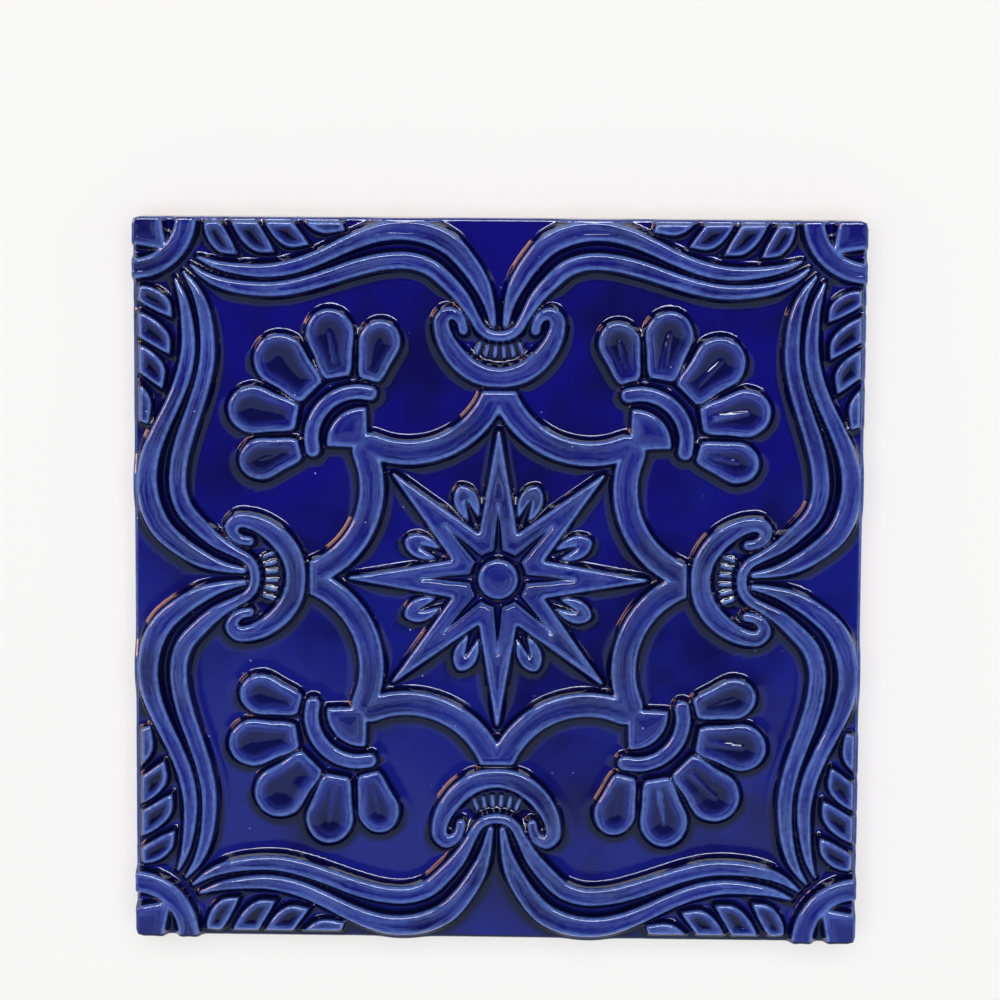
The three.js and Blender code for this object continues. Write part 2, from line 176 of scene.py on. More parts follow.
def through(points: np.ndarray, steps: int) -> np.ndarray:
    """Rows of a smooth line through given rows.

    Args:
        points: one row for each stop; the first two columns are its place.
        steps: how many rows replace each span.

    Returns:
        The rows along a centripetal spline, with the last stop at the end.
    """
    padded = np.vstack([2 * points[0] - points[1], points, 2 * points[-1] - points[-2]])
    gaps = np.sqrt(np.maximum(np.hypot(*(np.diff(padded[:, :2], axis=0).T)), 1e-6))
    knots = np.concatenate([[0.0], np.cumsum(gaps)])
    rows = []
    for i in range(1, len(padded) - 2):
        p, k = padded[i - 1 : i + 3], knots[i - 1 : i + 3]
        for t in np.linspace(k[1], k[2], steps, endpoint=False):
            a = [p[j] + (p[j + 1] - p[j]) * (t - k[j]) / (k[j + 1] - k[j]) for j in range(3)]
            b = [a[j] + (a[j + 1] - a[j]) * (t - k[j]) / (k[j + 2] - k[j]) for j in range(2)]
            rows.append(b[0] + (b[1] - b[0]) * (t - k[1]) / (k[2] - k[1]))
    return np.array([*rows, points[-1]])


@dataclass
class Patch:
    """A window of the relief's grid: which rows and columns it takes, and the places of its points."""

    rows: slice
    columns: slice
    x: np.ndarray
    y: np.ndarray


@dataclass
class ReliefMap:
    """Heights over the ground, in millimetres, on an even grid that runs a little past the tile."""

    half: float = 72.0
    cell: float = 0.1
    outside: float = -9.0  # stands for the distance where no outline is near
    rib_clear: float = 0.25  # how far a rib stands over its motif where its glaze is thin
    rib_inside: float = 0.7  # the distance inside an outline whose glaze a rib takes
    height: np.ndarray = field(init=False)
    inside: np.ndarray = field(init=False)  # distance inside the nearest outline, negative outside it
    sunk: np.ndarray = field(init=False)  # how much the glaze pools inside the crests, and the painted shade below the motifs and on the lower rim
    axis: np.ndarray = field(init=False)

    def __post_init__(self) -> None:
        """Lays out the level grid."""
        count = int(round(2 * self.half / self.cell)) + 1
        self.axis = np.linspace(-self.half, self.half, count)
        self.height = np.zeros((count, count))
        self.inside = np.full((count, count), self.outside)
        self.sunk = np.zeros((count, count))

    def patch(self, points: np.ndarray, margin: float) -> Patch:
        """The window of the grid round some points.

        Args:
            points: rows of x and y.
            margin: how far the window reaches past them.

        Returns:
            The window, cut off at the grid's edges.
        """
        low = np.floor((points[:, :2].min(axis=0) - margin + self.half) / self.cell).astype(int)
        high = np.ceil((points[:, :2].max(axis=0) + margin + self.half) / self.cell).astype(int)
        low, high = np.clip(low, 0, len(self.axis) - 1), np.clip(high, 1, len(self.axis))
        rows, columns = slice(low[1], high[1]), slice(low[0], high[0])
        x, y = np.meshgrid(self.axis[columns], self.axis[rows])
        return Patch(rows, columns, x, y)

    def raise_to(
        self, patch: Patch, height: np.ndarray, inside: np.ndarray, sunk: np.ndarray | float = 0.0
    ) -> None:
        """Lifts the surface wherever a motif is higher.

        Args:
            patch: the window that the motif takes.
            height: the motif's heights.
            inside: distance inside its outline, negative outside it.
            sunk: how much the glaze pools on it.
        """
        window = (patch.rows, patch.columns)
        for values, new in ((self.height, height), (self.inside, inside), (self.sunk, sunk)):
            np.maximum(values[window], new, out=values[window])

    def add_rib(self, patch: Patch, height: np.ndarray, share: np.ndarray) -> None:
        """Raises a thin-glazed rib inside a motif.

        Args:
            patch: the window that the rib takes.
            height: the rib's heights over the ground.
            share: how much of it stands out at each place, from 0 to 1.
        """
        window = (patch.rows, patch.columns)
        stands = np.clip((height - self.height[window]) / self.rib_clear, 0.0, 1.0) * share
        np.maximum(self.height[window], height, out=self.height[window])
        self.inside[window] += stands * (self.rib_inside - self.inside[window])
        self.sunk[window] *= 1.0 - stands

    def whole(self) -> Patch:
        """The window that takes the whole grid."""
        x, y = np.meshgrid(self.axis, self.axis)
        return Patch(slice(None), slice(None), x, y)

    def blurred(self, values: np.ndarray, spread: float) -> np.ndarray:
        """Values softened by a bell curve.

        Args:
            values: one value for each point of the grid.
            spread: the curve's standard deviation in millimetres.

        Returns:
            The softened values.
        """
        count = len(self.axis)
        reach = np.fft.fftfreq(count, self.cell)
        across = np.exp(-2.0 * (math.pi * spread * reach) ** 2)
        along = across[: count // 2 + 1]
        return np.fft.irfft2(np.fft.rfft2(values) * across[:, None] * along[None, :], s=values.shape)

    def sample(self, values: np.ndarray, x: np.ndarray, y: np.ndarray) -> np.ndarray:
        """Values between the grid's points.

        Args:
            values: one value for each point of the grid.
            x: places across, in millimetres.
            y: places up, in millimetres.

        Returns:
            The values at those places.
        """
        last = len(self.axis) - 1.001
        u = np.clip((x + self.half) / self.cell, 0.0, last)
        v = np.clip((y + self.half) / self.cell, 0.0, last)
        i, j = u.astype(int), v.astype(int)
        a, b = u - i, v - j
        low = values[j, i] * (1 - a) + values[j, i + 1] * a
        high = values[j + 1, i] * (1 - a) + values[j + 1, i + 1] * a
        return low * (1 - b) + high * b


def segment_distance(patch: Patch, start: np.ndarray, end: np.ndarray) -> tuple[np.ndarray, np.ndarray]:
    """Distances from a straight line between two points.

    Args:
        patch: the places to measure.
        start: the line's first point.
        end: the line's last point.

    Returns:
        The distance of each place, and how far along the line its nearest point lies, from 0 to 1.
    """
    run = end[:2] - start[:2]
    length = max(float(run @ run), 1e-12)
    along = np.clip(((patch.x - start[0]) * run[0] + (patch.y - start[1]) * run[1]) / length, 0.0, 1.0)
    distance = np.hypot(patch.x - start[0] - along * run[0], patch.y - start[1] - along * run[1])
    return distance, along


def depth_inside(patch: Patch, outline: np.ndarray) -> np.ndarray:
    """How far each place lies inside a closed outline, negative outside it."""
    nearest = np.full(patch.x.shape, FAR)
    inside = np.zeros(patch.x.shape, bool)
    for start, end in zip(outline, np.roll(outline, -1, axis=0)):
        nearest = np.minimum(nearest, segment_distance(patch, start, end)[0])
        if start[1] == end[1]:
            continue
        crossing = (start[1] > patch.y) != (end[1] > patch.y)
        at = start[0] + (patch.y - start[1]) * (end[0] - start[0]) / (end[1] - start[1])
        inside ^= crossing & (patch.x < at)
    return np.where(inside, nearest, -nearest)


@dataclass
class Moulding:
    """A raised line of changing width along a smooth curve."""

    stops: Sequence[Stop]
    height: float
    profile: Profile = Profile()
    cut_above: float | None = None  # where the drawn wedge's copy is cut off, as a height in the wedge

    SPAN_STEPS = 7

    def press(self, relief: ReliefMap, copies: Copies) -> None:
        """Raises every copy of the moulding from the ground.

        Args:
            relief: the map that takes the heights.
            copies: where the copies lie.
        """
        for place in copies.places():
            patch, inside, half, share = self.section(relief, place)
            relief.raise_to(patch, self.height * share * self.profile.share(inside, half), inside)

    def press_joined(self, relief: ReliefMap, copies: Copies) -> None:
        """Raises every copy as one shape, whose crests run round its common outline.

        Args:
            relief: the map that takes the heights.
            copies: where the copies lie.
        """
        whole = relief.whole()
        joint = np.full(whole.x.shape, relief.outside)
        halves, shares = np.ones(whole.x.shape), np.ones(whole.x.shape)
        for place in copies.places():
            patch, inside, half, share = self.section(relief, place)
            window = (patch.rows, patch.columns)
            wins = inside > joint[window]
            for target, values in ((joint, inside), (halves, half), (shares, share)):
                target[window] = np.where(wins, values, target[window])
        relief.raise_to(whole, self.height * shares * self.profile.share(joint, halves), joint)

    def section(
        self, relief: ReliefMap, place: Callable[[Point], Point]
    ) -> tuple[Patch, np.ndarray, np.ndarray, np.ndarray]:
        """Measures one copy of the moulding.

        Args:
            relief: the map that it is measured on.
            place: moves a point of the drawn wedge into the copy.

        Returns:
            The window, the distance inside the outline, the half-width, and the share of the height.
        """
        rows = np.array([[*place(stop.at), stop.half, stop.share] for stop in self.stops])
        line = through(rows, self.SPAN_STEPS)
        patch = relief.patch(line, self.profile.cove + line[:, 2].max() + SPARE)
        nearest = np.full(patch.x.shape, FAR)
        half, share = np.ones(patch.x.shape), np.zeros(patch.x.shape)
        for start, end in zip(line, line[1:]):
            distance, along = segment_distance(patch, start, end)
            closer = distance < nearest
            nearest = np.where(closer, distance, nearest)
            half = np.where(closer, start[2] + along * (end[2] - start[2]), half)
            share = np.where(closer, start[3] + along * (end[3] - start[3]), share)
        inside = half - nearest
        if self.cut_above is not None:
            up = np.array(place((0.0, 1.0)))
            inside = np.minimum(inside, self.cut_above - (patch.x * up[0] + patch.y * up[1]))
        return patch, inside, half, share


@dataclass
class Island:
    """A raised shape inside a closed outline."""

    outline: Sequence[Point]
    half: float
    height: float
    profile: Profile = Profile()
    rim_gap: float | None = None  # how far from the tile's edge it ends, where it doesn't run over it

    def press(self, relief: ReliefMap, copies: Copies) -> None:
        """Raises every copy of the island from the ground.

        Args:
            relief: the map that takes the heights.
            copies: where the copies lie.
        """
        for place in copies.places():
            outline = np.array([place(point) for point in self.outline])
            patch = relief.patch(outline, self.profile.cove + SPARE)
            inside = depth_inside(patch, outline)
            if self.rim_gap is not None:
                from_rim = HALF_SIDE - np.maximum(np.abs(patch.x), np.abs(patch.y))
                inside = np.minimum(inside, from_rim - self.rim_gap)
            height = self.height * self.profile.share(inside, self.half)
            relief.raise_to(patch, height, inside, self.profile.pooled(inside))


def arc_stops(centre: Point, radius: float, start: float, end: float, half: float) -> list[Stop]:
    """Stops of even width along an arc.

    Args:
        centre: the arc's centre.
        radius: its radius.
        start: the first bearing in degrees.
        end: the last bearing in degrees.
        half: half the width.

    Returns:
        Nine stops along the arc.
    """
    return [Stop(polar(radius, start + (end - start) * i / 8, centre), half) for i in range(9)]


@dataclass
class EdgeBands:
    """The pairs of curved bands that run from the corners to the middle of each edge."""

    height: float = 3.2
    outer: Sequence[Stop] = (
        Stop(from_corner(12.4, 8.1), 0.4, 0.35),
        Stop(from_corner(16, 9.5), 0.9, 0.75),
        Stop(from_corner(21, 10.4), 1.3, 0.95),
        Stop(from_corner(26, 10.6), 1.5),
        Stop(from_corner(31, 9.7), 1.6),
        Stop(from_corner(36, 7.8), 1.6),
        Stop(from_edge(29, 5.4), 1.7),
        Stop(from_edge(24, 3.4), 1.9),
        Stop(from_edge(19, 2.5), 2.1),
        Stop(from_edge(14, 3.1), 2.2),
        Stop(from_edge(9.4, 5.2), 2.2),
        Stop(from_edge(6.1, 8.7), 2.0),
        Stop((3.5, 57.2), 1.75, 0.95),
        Stop((2, 53.3), 1.2, 0.9),
        Stop((1.15, 49), 0.7, 0.7),
    )
    inner: Sequence[Stop] = (
        Stop(from_corner(11.1, 9.7), 0.4, 0.35),
        Stop(from_corner(14, 11.8), 0.9, 0.75),
        Stop(from_corner(18, 13.4), 1.3, 0.95),
        Stop(from_corner(23, 14.2), 1.5),
        Stop(from_corner(28, 14.2), 1.6),
        Stop(from_corner(33, 13.2), 1.65),
        Stop(from_corner(38, 11.6), 1.7),
        Stop(from_edge(27, 9.9), 1.8),
        Stop(from_edge(22, 8.7), 1.8),
        Stop(from_edge(17, 8.5), 1.8),
        Stop(from_edge(13, 9.8), 1.8),
        Stop(from_edge(9.8, 12.6), 1.7),
        Stop((7, 54.2), 1.5),
        Stop((5, 50.8), 1.15),
        Stop((3.5, 48.2), 1.1),
        Stop((1.8, 47.0), 1.1),
        Stop((-0.3, 46.7), 1.1),
    )

    def press(self, relief: ReliefMap) -> None:
        """Raises both bands of every pair."""
        Moulding(self.outer, self.height).press(relief, Copies.BOTH_SIDES)
        Moulding(self.inner, self.height).press_joined(relief, Copies.BOTH_SIDES)


@dataclass
class Crescents:
    """The scroll-ended crescents inside the middle of each edge, with rays of short ticks."""

    height: float = 3.1
    half_line: Sequence[Stop] = (
        Stop((0, 38.85), 2.0),
        Stop((3.9, 39.55), 2.1),
        Stop((7.3, 41.8), 2.1),
        Stop((9.9, 45.2), 1.9),
        Stop((11, 48.3), 1.65),
        Stop((10.9, 50.1), 1.6),
        Stop((9.7, 51.2), 1.45),
        Stop((8.1, 50.7), 1.2, 0.97),
        Stop((7.2, 49.4), 1.05, 0.92),
        Stop((6.9, 47.9), 1.05, 0.85),
    )
    tick_count: int = 6
    tick_centre: float = 55.0
    tick_radius: float = 11.4
    tick_length: float = 1.9
    tick_half: float = 0.5
    tick_spread: float = 8.4
    tick_height: float = 0.6

    def press(self, relief: ReliefMap) -> None:
        """Raises the crescents and their ticks."""
        left = [Stop((-s.at[0], s.at[1]), s.half, s.share) for s in reversed(self.half_line[1:])]
        Moulding([*left, *self.half_line], self.height).press(relief, Copies.ON_DIAGONAL)
        narrow = Profile(cove=0.4, reach=0.45, dip=0.0)
        for i in range(self.tick_count):
            bearing = -90 + (i - (self.tick_count - 1) / 2) * self.tick_spread
            centre = (0.0, self.tick_centre)
            ends = [self.tick_radius - self.tick_length / 2, self.tick_radius + self.tick_length / 2]
            stops = [Stop(polar(radius, bearing, centre), self.tick_half) for radius in ends]
            Moulding(stops, self.tick_height, narrow).press(relief, Copies.ON_DIAGONAL)


@dataclass
class CurvedFrame:
    """The eight arcs that frame the star."""

    height: float = 2.8
    centre: Point = (17.5, 42.1)
    radius: float = 17.8
    half: float = 2.5
    start: float = 193.0
    end: float = 293.0
    apex: float = 36.4  # where the arcs' points are cut off under the crescents

    def press(self, relief: ReliefMap) -> None:
        """Raises the arcs."""
        stops = arc_stops(self.centre, self.radius, self.start, self.end, self.half)
        Moulding(stops, self.height, cut_above=self.apex).press_joined(relief, Copies.BOTH_SIDES)


@dataclass(frozen=True)
class Petal:
    """A petal's axis, half its width, and half the width of its foot."""

    foot: Point
    tip: Point
    half: float
    foot_half: float

    STEPS = 6
    RIB_HEIGHT = 2.64
    # Places along the axis, half-widths there and shares of the height
    RIB_STOPS = ((0.12, 1.1, 1.0), (0.4, 0.8, 0.97), (0.66, 0.4, 0.92))
    RIB_FOOT = 0.9  # how far beside the rib's outline it is measured
    WORN = 0.84  # the share of the height that the weakest rib keeps

    def outline(self) -> list[Point]:
        """The closed outline: narrow at the foot, widest towards the round tip."""
        axis = np.subtract(self.tip, self.foot)
        side = np.array([-axis[1], axis[0]]) / np.hypot(*axis)
        bow = [
            (0.0, self.foot_half),
            (0.36, self.half * 0.82),
            (0.68, self.half),
            (0.92, self.half * 0.62),
            (1.0, 0.0),
        ]
        bow += [(along, -across) for along, across in reversed(bow[:-1])]
        stations = [np.array(self.foot) + axis * along + side * across for along, across in bow]
        line = through(np.array([*stations[-2:], *stations, *stations[:2]]), self.STEPS)
        closed = line[2 * self.STEPS : -2 * self.STEPS]
        return [tuple(row) for row in closed[:-1]] + [tuple(stations[-1])]

    def add_rib(self, relief: ReliefMap, place: Callable[[Point], Point], strength: float) -> None:
        """Raises the wedge-shaped rib along one copy of the petal, highest at its foot.

        Args:
            relief: the map that takes the heights.
            place: moves a point of the drawn wedge into the copy.
            strength: how much of the rib the press has left, from 0 to 1.
        """
        ends = np.array([self.foot, self.tip])
        stops = [
            Stop(tuple(ends[0] + (ends[1] - ends[0]) * along), half, share)
            for along, half, share in self.RIB_STOPS
        ]
        narrow = Profile(cove=1.0, reach=0.55, dip=0.0)
        patch, inside, half, share = Moulding(stops, self.RIB_HEIGHT, narrow).section(relief, place)
        height = self.RIB_HEIGHT * share * narrow.share(inside, half)
        kept = self.WORN + (1.0 - self.WORN) * strength
        height = np.where(inside > -self.RIB_FOOT, height * kept, 0.0)
        relief.add_rib(patch, height, narrow.share(inside, half) * strength)


@dataclass
class Flowers:
    """The four flowers on the diagonals: a knob, a collar round it, and five petals."""

    petal_height: float = 2.7
    collar_height: float = 2.7
    knob_height: float = 3.1
    side_petals: Sequence[Petal] = (
        Petal((24.9, 38), (21.7, 49.8), 4.1, 1.8),
        Petal((30.9, 38.5), (33.2, 52), 4.7, 2.2),
    )
    middle_petal: Petal = Petal((35.7, 35.7), (45.6, 45.6), 5.1, 2.7)
    place: float = 26.9
    collar_radius: float = 9.0
    collar_half: float = 1.55
    collar_turn: float = 59.0
    knob_place: float = 26.0
    knob_radius: float = 7.1
    knob_half: float = 3.4
    knob_span: tuple[float, float] = (-6.0, 96.0)  # bearings of its round side, in degrees
    # How strongly the rib shows on each flower's petals: top right first and then turning left, and in
    # each flower the petals in the order in which the drawn wedge's own side comes first.
    ribs: Sequence[Sequence[float]] = (
        (0.8, 0.7, 0.3, 0.9, 0.7),
        (0.2, 0.0, 0.0, 0.6, 0.2),
        (0.5, 0.7, 0.0, 0.0, 0.0),
        (0.3, 0.8, 0.8, 0.9, 0.3),
    )

    def press(self, relief: ReliefMap) -> None:
        """Raises the flowers."""
        dished = Profile(dip=0.32, dip_width=3.4, pooling=0.75)
        for petal in self.side_petals:
            Island(petal.outline(), petal.half, self.petal_height, dished).press(relief, Copies.BOTH_SIDES)
        middle = self.middle_petal
        Island(middle.outline(), middle.half, self.petal_height, dished).press(relief, Copies.ON_DIAGONAL)
        self.add_ribs(relief)
        collar = arc_stops(
            (self.place, self.place),
            self.collar_radius,
            45 - self.collar_turn,
            45 + self.collar_turn,
            self.collar_half,
        )
        Moulding(collar, self.collar_height).press(relief, Copies.ON_DIAGONAL)
        centre = (self.knob_place, self.knob_place)
        bearings = np.linspace(*self.knob_span, 13)
        knob = [(self.knob_place - 1, self.knob_place - 1)]
        knob += [polar(self.knob_radius, bearing, centre) for bearing in bearings]
        domed = Profile(reach=0.8, dip=0.0, crown=0.16)
        Island(knob, self.knob_half, self.knob_height, domed).press(relief, Copies.ON_DIAGONAL)

    def add_ribs(self, relief: ReliefMap) -> None:
        """Raises the ribs of the petals, each as strong as the press has left it."""
        for number, place in enumerate(Copies.BOTH_SIDES.places()):
            turn, mirrored = divmod(number, len(Copies.BOTH_SIDES.value))
            strengths = self.ribs[turn][::-1] if mirrored else self.ribs[turn]
            petals = self.side_petals if mirrored else (*self.side_petals, self.middle_petal)
            for petal, strength in zip(petals, strengths):
                if strength > 0.0:
                    petal.add_rib(relief, place, strength)


@dataclass(frozen=True)
class Leaf:
    """A hollow laurel leaf, by the points that its outline passes, as insets from the corner.

    The outline leaves the near end of the root, bulges towards the corner, turns at the belly into
    the pointed tip, and comes back almost straight to the root's far end.
    """

    root: Point
    bulge: Point
    belly: Point
    tip: Point
    back: Point
    far_root: Point

    STEPS = 6

    def outline(self) -> list[Point]:
        """The closed outline, sharp only at the tip."""
        near = self.line((self.far_root, self.root, self.bulge, self.belly, self.tip))[self.STEPS :]
        far = self.line((self.tip, self.back, self.far_root, self.root))[1 : -self.STEPS]
        return [tuple(row) for row in (*near, *far)]

    def line(self, insets: Sequence[Point]) -> np.ndarray:
        """The smooth line through some insets from the corner."""
        return through(np.array([from_corner(*inset) for inset in insets]), self.STEPS)


@dataclass
class CornerOrnaments:
    """The quarter rings and lozenges in the corners, and the laurel leaves beside them."""

    ring_height: float = 3.2
    ring_radius: float = 10.4
    ring_half: float = 2.15
    lozenge_height: float = 2.9
    lozenge_reach: float = 7.0
    lozenge_foot: float = 5.2
    lozenge_half: float = 3.6
    past_rim: float = 2.5  # how far the lozenge is drawn past the tile's edges
    leaf_height: float = 2.4
    leaf_half: float = 2.2
    leaf_gap: float = 1.0  # from the tile's edge to the leaves
    leaves: Sequence[Leaf] = (
        Leaf((13.8, 1.2), (14.4, 4.7), (16.8, 7.2), (20.4, 7.7), (18.9, 4.3), (16.4, 0.9)),
        Leaf((18.8, 0.0), (20.4, 4.2), (23.6, 7.0), (27.6, 7.2), (25.8, 3.9), (22.8, 0.0)),
        Leaf((25.0, -0.3), (26.6, 3.6), (29.8, 6.1), (34.2, 5.7), (32.2, 2.9), (29.0, -0.5)),
        Leaf((31.4, -0.9), (33.0, 1.5), (36.0, 3.4), (41.0, 3.0), (39.9, 0.8), (36.8, -1.1)),
    )

    def press(self, relief: ReliefMap) -> None:
        """Raises the rings, lozenges and leaves."""
        ring = arc_stops(from_corner(0, 0), self.ring_radius, 168, 282, self.ring_half)
        Moulding(ring, self.ring_height).press(relief, Copies.ON_DIAGONAL)
        past = -self.past_rim
        lozenge = [
            from_corner(past, past),
            from_corner(past, self.lozenge_foot),
            from_corner(self.lozenge_reach, self.lozenge_reach),
            from_corner(self.lozenge_foot, past),
        ]
        block = Profile(cove=1.4, reach=0.9, dip=0.1, dip_width=1.6, pooling=0.25)
        Island(lozenge, self.lozenge_half, self.lozenge_height, block).press(relief, Copies.ON_DIAGONAL)
        hollow = Profile(
            cove=1.2, reach=0.65, dip=0.17, dip_width=1.4, pooling=1.0, pool_inset=0.15, pool_width=1.0
        )
        for leaf in self.leaves:
            island = Island(leaf.outline(), self.leaf_half, self.leaf_height, hollow, self.leaf_gap)
            island.press(relief, Copies.BOTH_SIDES)


@dataclass(frozen=True)
class Bud:
    """A bud between two rays, pointed at both ends and split by a notch that opens at its foot."""

    foot: Point
    tip: Point
    half: float
    height: float
    notch_half: float = 0.9
    notch_share: float = 0.62  # how much of the bud's length the notch takes
    profile: Profile = Profile(cove=1.3, reach=0.8)

    MARGIN = 1.6
    SIDES = 24
    POINTEDNESS = 0.3
    NARROW, WIDE = 0.86, 1.1  # the width's share near the foot and near the tip
    # The share of the height that is left at each distance from the notch's edge
    FROM_NOTCH = (-0.8, -0.2, 0.1, 0.35, 0.6)
    LEFT = (0.2, 0.34, 0.62, 0.9, 1.0)

    def outline(self, foot: np.ndarray, axis: np.ndarray, side: np.ndarray, length: float) -> np.ndarray:
        """The outline of one copy.

        Args:
            foot: its near end.
            axis: its unit direction.
            side: the unit direction across it.
            length: its length.

        Returns:
            The outline's points in order.
        """
        points = []
        for i in range(self.SIDES):
            turn = 2 * math.pi * i / self.SIDES
            along = (1 - math.cos(turn)) / 2
            across = math.sin(turn) * abs(math.sin(turn)) ** self.POINTEDNESS
            across *= self.half * (self.NARROW + (self.WIDE - self.NARROW) * along)
            points.append(foot + axis * length * along + side * across)
        return np.array(points)

    def press(self, relief: ReliefMap) -> None:
        """Raises every copy of the bud, on both sides of the diagonal."""
        for place in Copies.BOTH_SIDES.places():
            foot, tip = np.array(place(self.foot)), np.array(place(self.tip))
            length = float(np.hypot(*(tip - foot)))
            axis = (tip - foot) / length
            side = np.array([-axis[1], axis[0]])
            outline = self.outline(foot, axis, side, length)
            patch = relief.patch(outline, self.MARGIN)
            body = depth_inside(patch, outline)
            along = (patch.x - foot[0]) * axis[0] + (patch.y - foot[1]) * axis[1]
            across = (patch.x - foot[0]) * side[0] + (patch.y - foot[1]) * side[1]
            split = length * self.notch_share
            open_half = self.notch_half * np.clip(1.0 - along / split, 0.0, 1.3)
            notch = np.where(along < split, open_half - np.abs(across), -3.0)
            kept = np.interp(-notch, self.FROM_NOTCH, self.LEFT)
            height = self.height * self.profile.share(body, self.half) * kept
            relief.raise_to(patch, height, np.minimum(body, -notch))


@dataclass
class Star:
    """The eight-rayed star with its grooves, the sunken ring, the button, and the buds between the rays.
    """

    height: float = 2.7
    rays: int = 8
    ray_length: float = 28.8
    tip_half: float = 0.35
    valley: float = 9.8
    groove_length: float = 14.6
    groove_half: float = 1.0
    groove_start: float = 4.6
    margin: float = 2.0
    half: float = 3.0
    hollowing: float = 0.12  # how much of the height the rays' middles lie lower
    hollow_from: float = 0.9
    hollow_width: float = 0.9
    hollow_radius: float = 5.5
    button_radius: float = 4.0
    button_height: float = 3.2
    button_doming: float = 0.16  # how much lower its rim lies, as a share of its height
    bud_start: float = 11.6
    bud_length: float = 8.0
    bud_half: float = 2.5
    bud_height: float = 2.0

    # The share of the height that is left at each distance from a groove's edge
    FROM_GROOVE = (-0.9, -0.4, -0.1, 0.1, 0.3, 0.5)
    LEFT = (0.08, 0.2, 0.45, 0.7, 0.92, 1.0)
    # How the glaze thins along the grooves: the depth that stands for their edge, and its fall
    GROOVE_EDGE, GROOVE_FALL = 0.2, 1.6

    def press(self, relief: ReliefMap) -> None:
        """Raises the star, sinks its grooves, and adds the button and the buds."""
        corners = []
        step = 360 / self.rays
        blunt = math.degrees(self.tip_half / self.ray_length)
        for i in range(self.rays):
            corners += [polar(self.ray_length, step * i - blunt), polar(self.ray_length, step * i + blunt)]
            corners.append(polar(self.valley, step * (i + 0.5)))
        outline = np.array(corners)
        patch = relief.patch(outline, self.margin)
        body = depth_inside(patch, outline)
        groove = self.groove_depth(patch)
        lip = np.interp(-groove, self.FROM_GROOVE, self.LEFT)
        depth = np.minimum(body, -groove)
        plateau = 1.0 - self.hollowing * smooth((depth - self.hollow_from) / self.hollow_width)
        edge = Profile(reach=0.9, dip=0.0)
        height = self.height * np.minimum(edge.share(body, self.half), lip) * plateau
        relief.raise_to(patch, height, np.minimum(body, self.GROOVE_EDGE - self.GROOVE_FALL * groove))
        self.press_button(relief)
        bearing = 90 - 180 / self.rays
        foot = polar(self.bud_start, bearing)
        tip = polar(self.bud_start + self.bud_length, bearing)
        Bud(foot, tip, self.bud_half, self.bud_height).press(relief)

    def groove_depth(self, patch: Patch) -> np.ndarray:
        """How far each place lies inside the rays' grooves or the sunken ring, negative outside them."""
        groove = self.hollow_radius - np.hypot(patch.x, patch.y)
        blunt = math.degrees(self.groove_half / self.groove_start)
        for i in range(self.rays):
            bearing = 360 / self.rays * i
            wedge = [
                polar(self.groove_length, bearing),
                polar(self.groove_start, bearing + blunt),
                polar(self.groove_start, bearing - blunt),
            ]
            groove = np.maximum(groove, depth_inside(patch, np.array(wedge)))
        return groove

    def press_button(self, relief: ReliefMap) -> None:
        """Raises the domed button in the sunken ring."""
        patch = relief.patch(np.array([[0.0, 0.0]]), self.button_radius + self.margin)
        radius = np.hypot(patch.x, patch.y)
        domed = Profile(cove=0.9, reach=0.8, dip=0.0)
        dome = 1.0 - self.button_doming * (radius / self.button_radius) ** 2
        inside = self.button_radius - radius
        relief.raise_to(patch, self.button_height * dome * domed.share(inside, self.button_radius), inside)


def put_in_order(bm: bmesh.types.BMesh) -> None:
    """Sorts the faces by their points, because extruding leaves them in another order on each run."""
    bm.verts.index_update()
    count = len(bm.verts)

    def rank(face: bmesh.types.BMFace) -> int:
        """A face's place in the order, by its first and its last point."""
        numbers = [vert.index for vert in face.verts]
        return min(numbers) * count + max(numbers)

    bm.faces.sort(key=rank)
    bm.faces.index_update()


def finished(bm: bmesh.types.BMesh, name: str) -> bpy.types.Mesh:
    """Turns a bmesh into a named mesh."""
    mesh = bpy.data.meshes.new(name)
    bm.to_mesh(mesh)
    bm.free()
    return mesh


def shown(name: str, data: bpy.types.ID) -> bpy.types.Object:
    """A new object of the scene for a mesh, a lamp or a camera."""
    item = bpy.data.objects.new(name, data)
    bpy.context.scene.collection.objects.link(item)
    return item


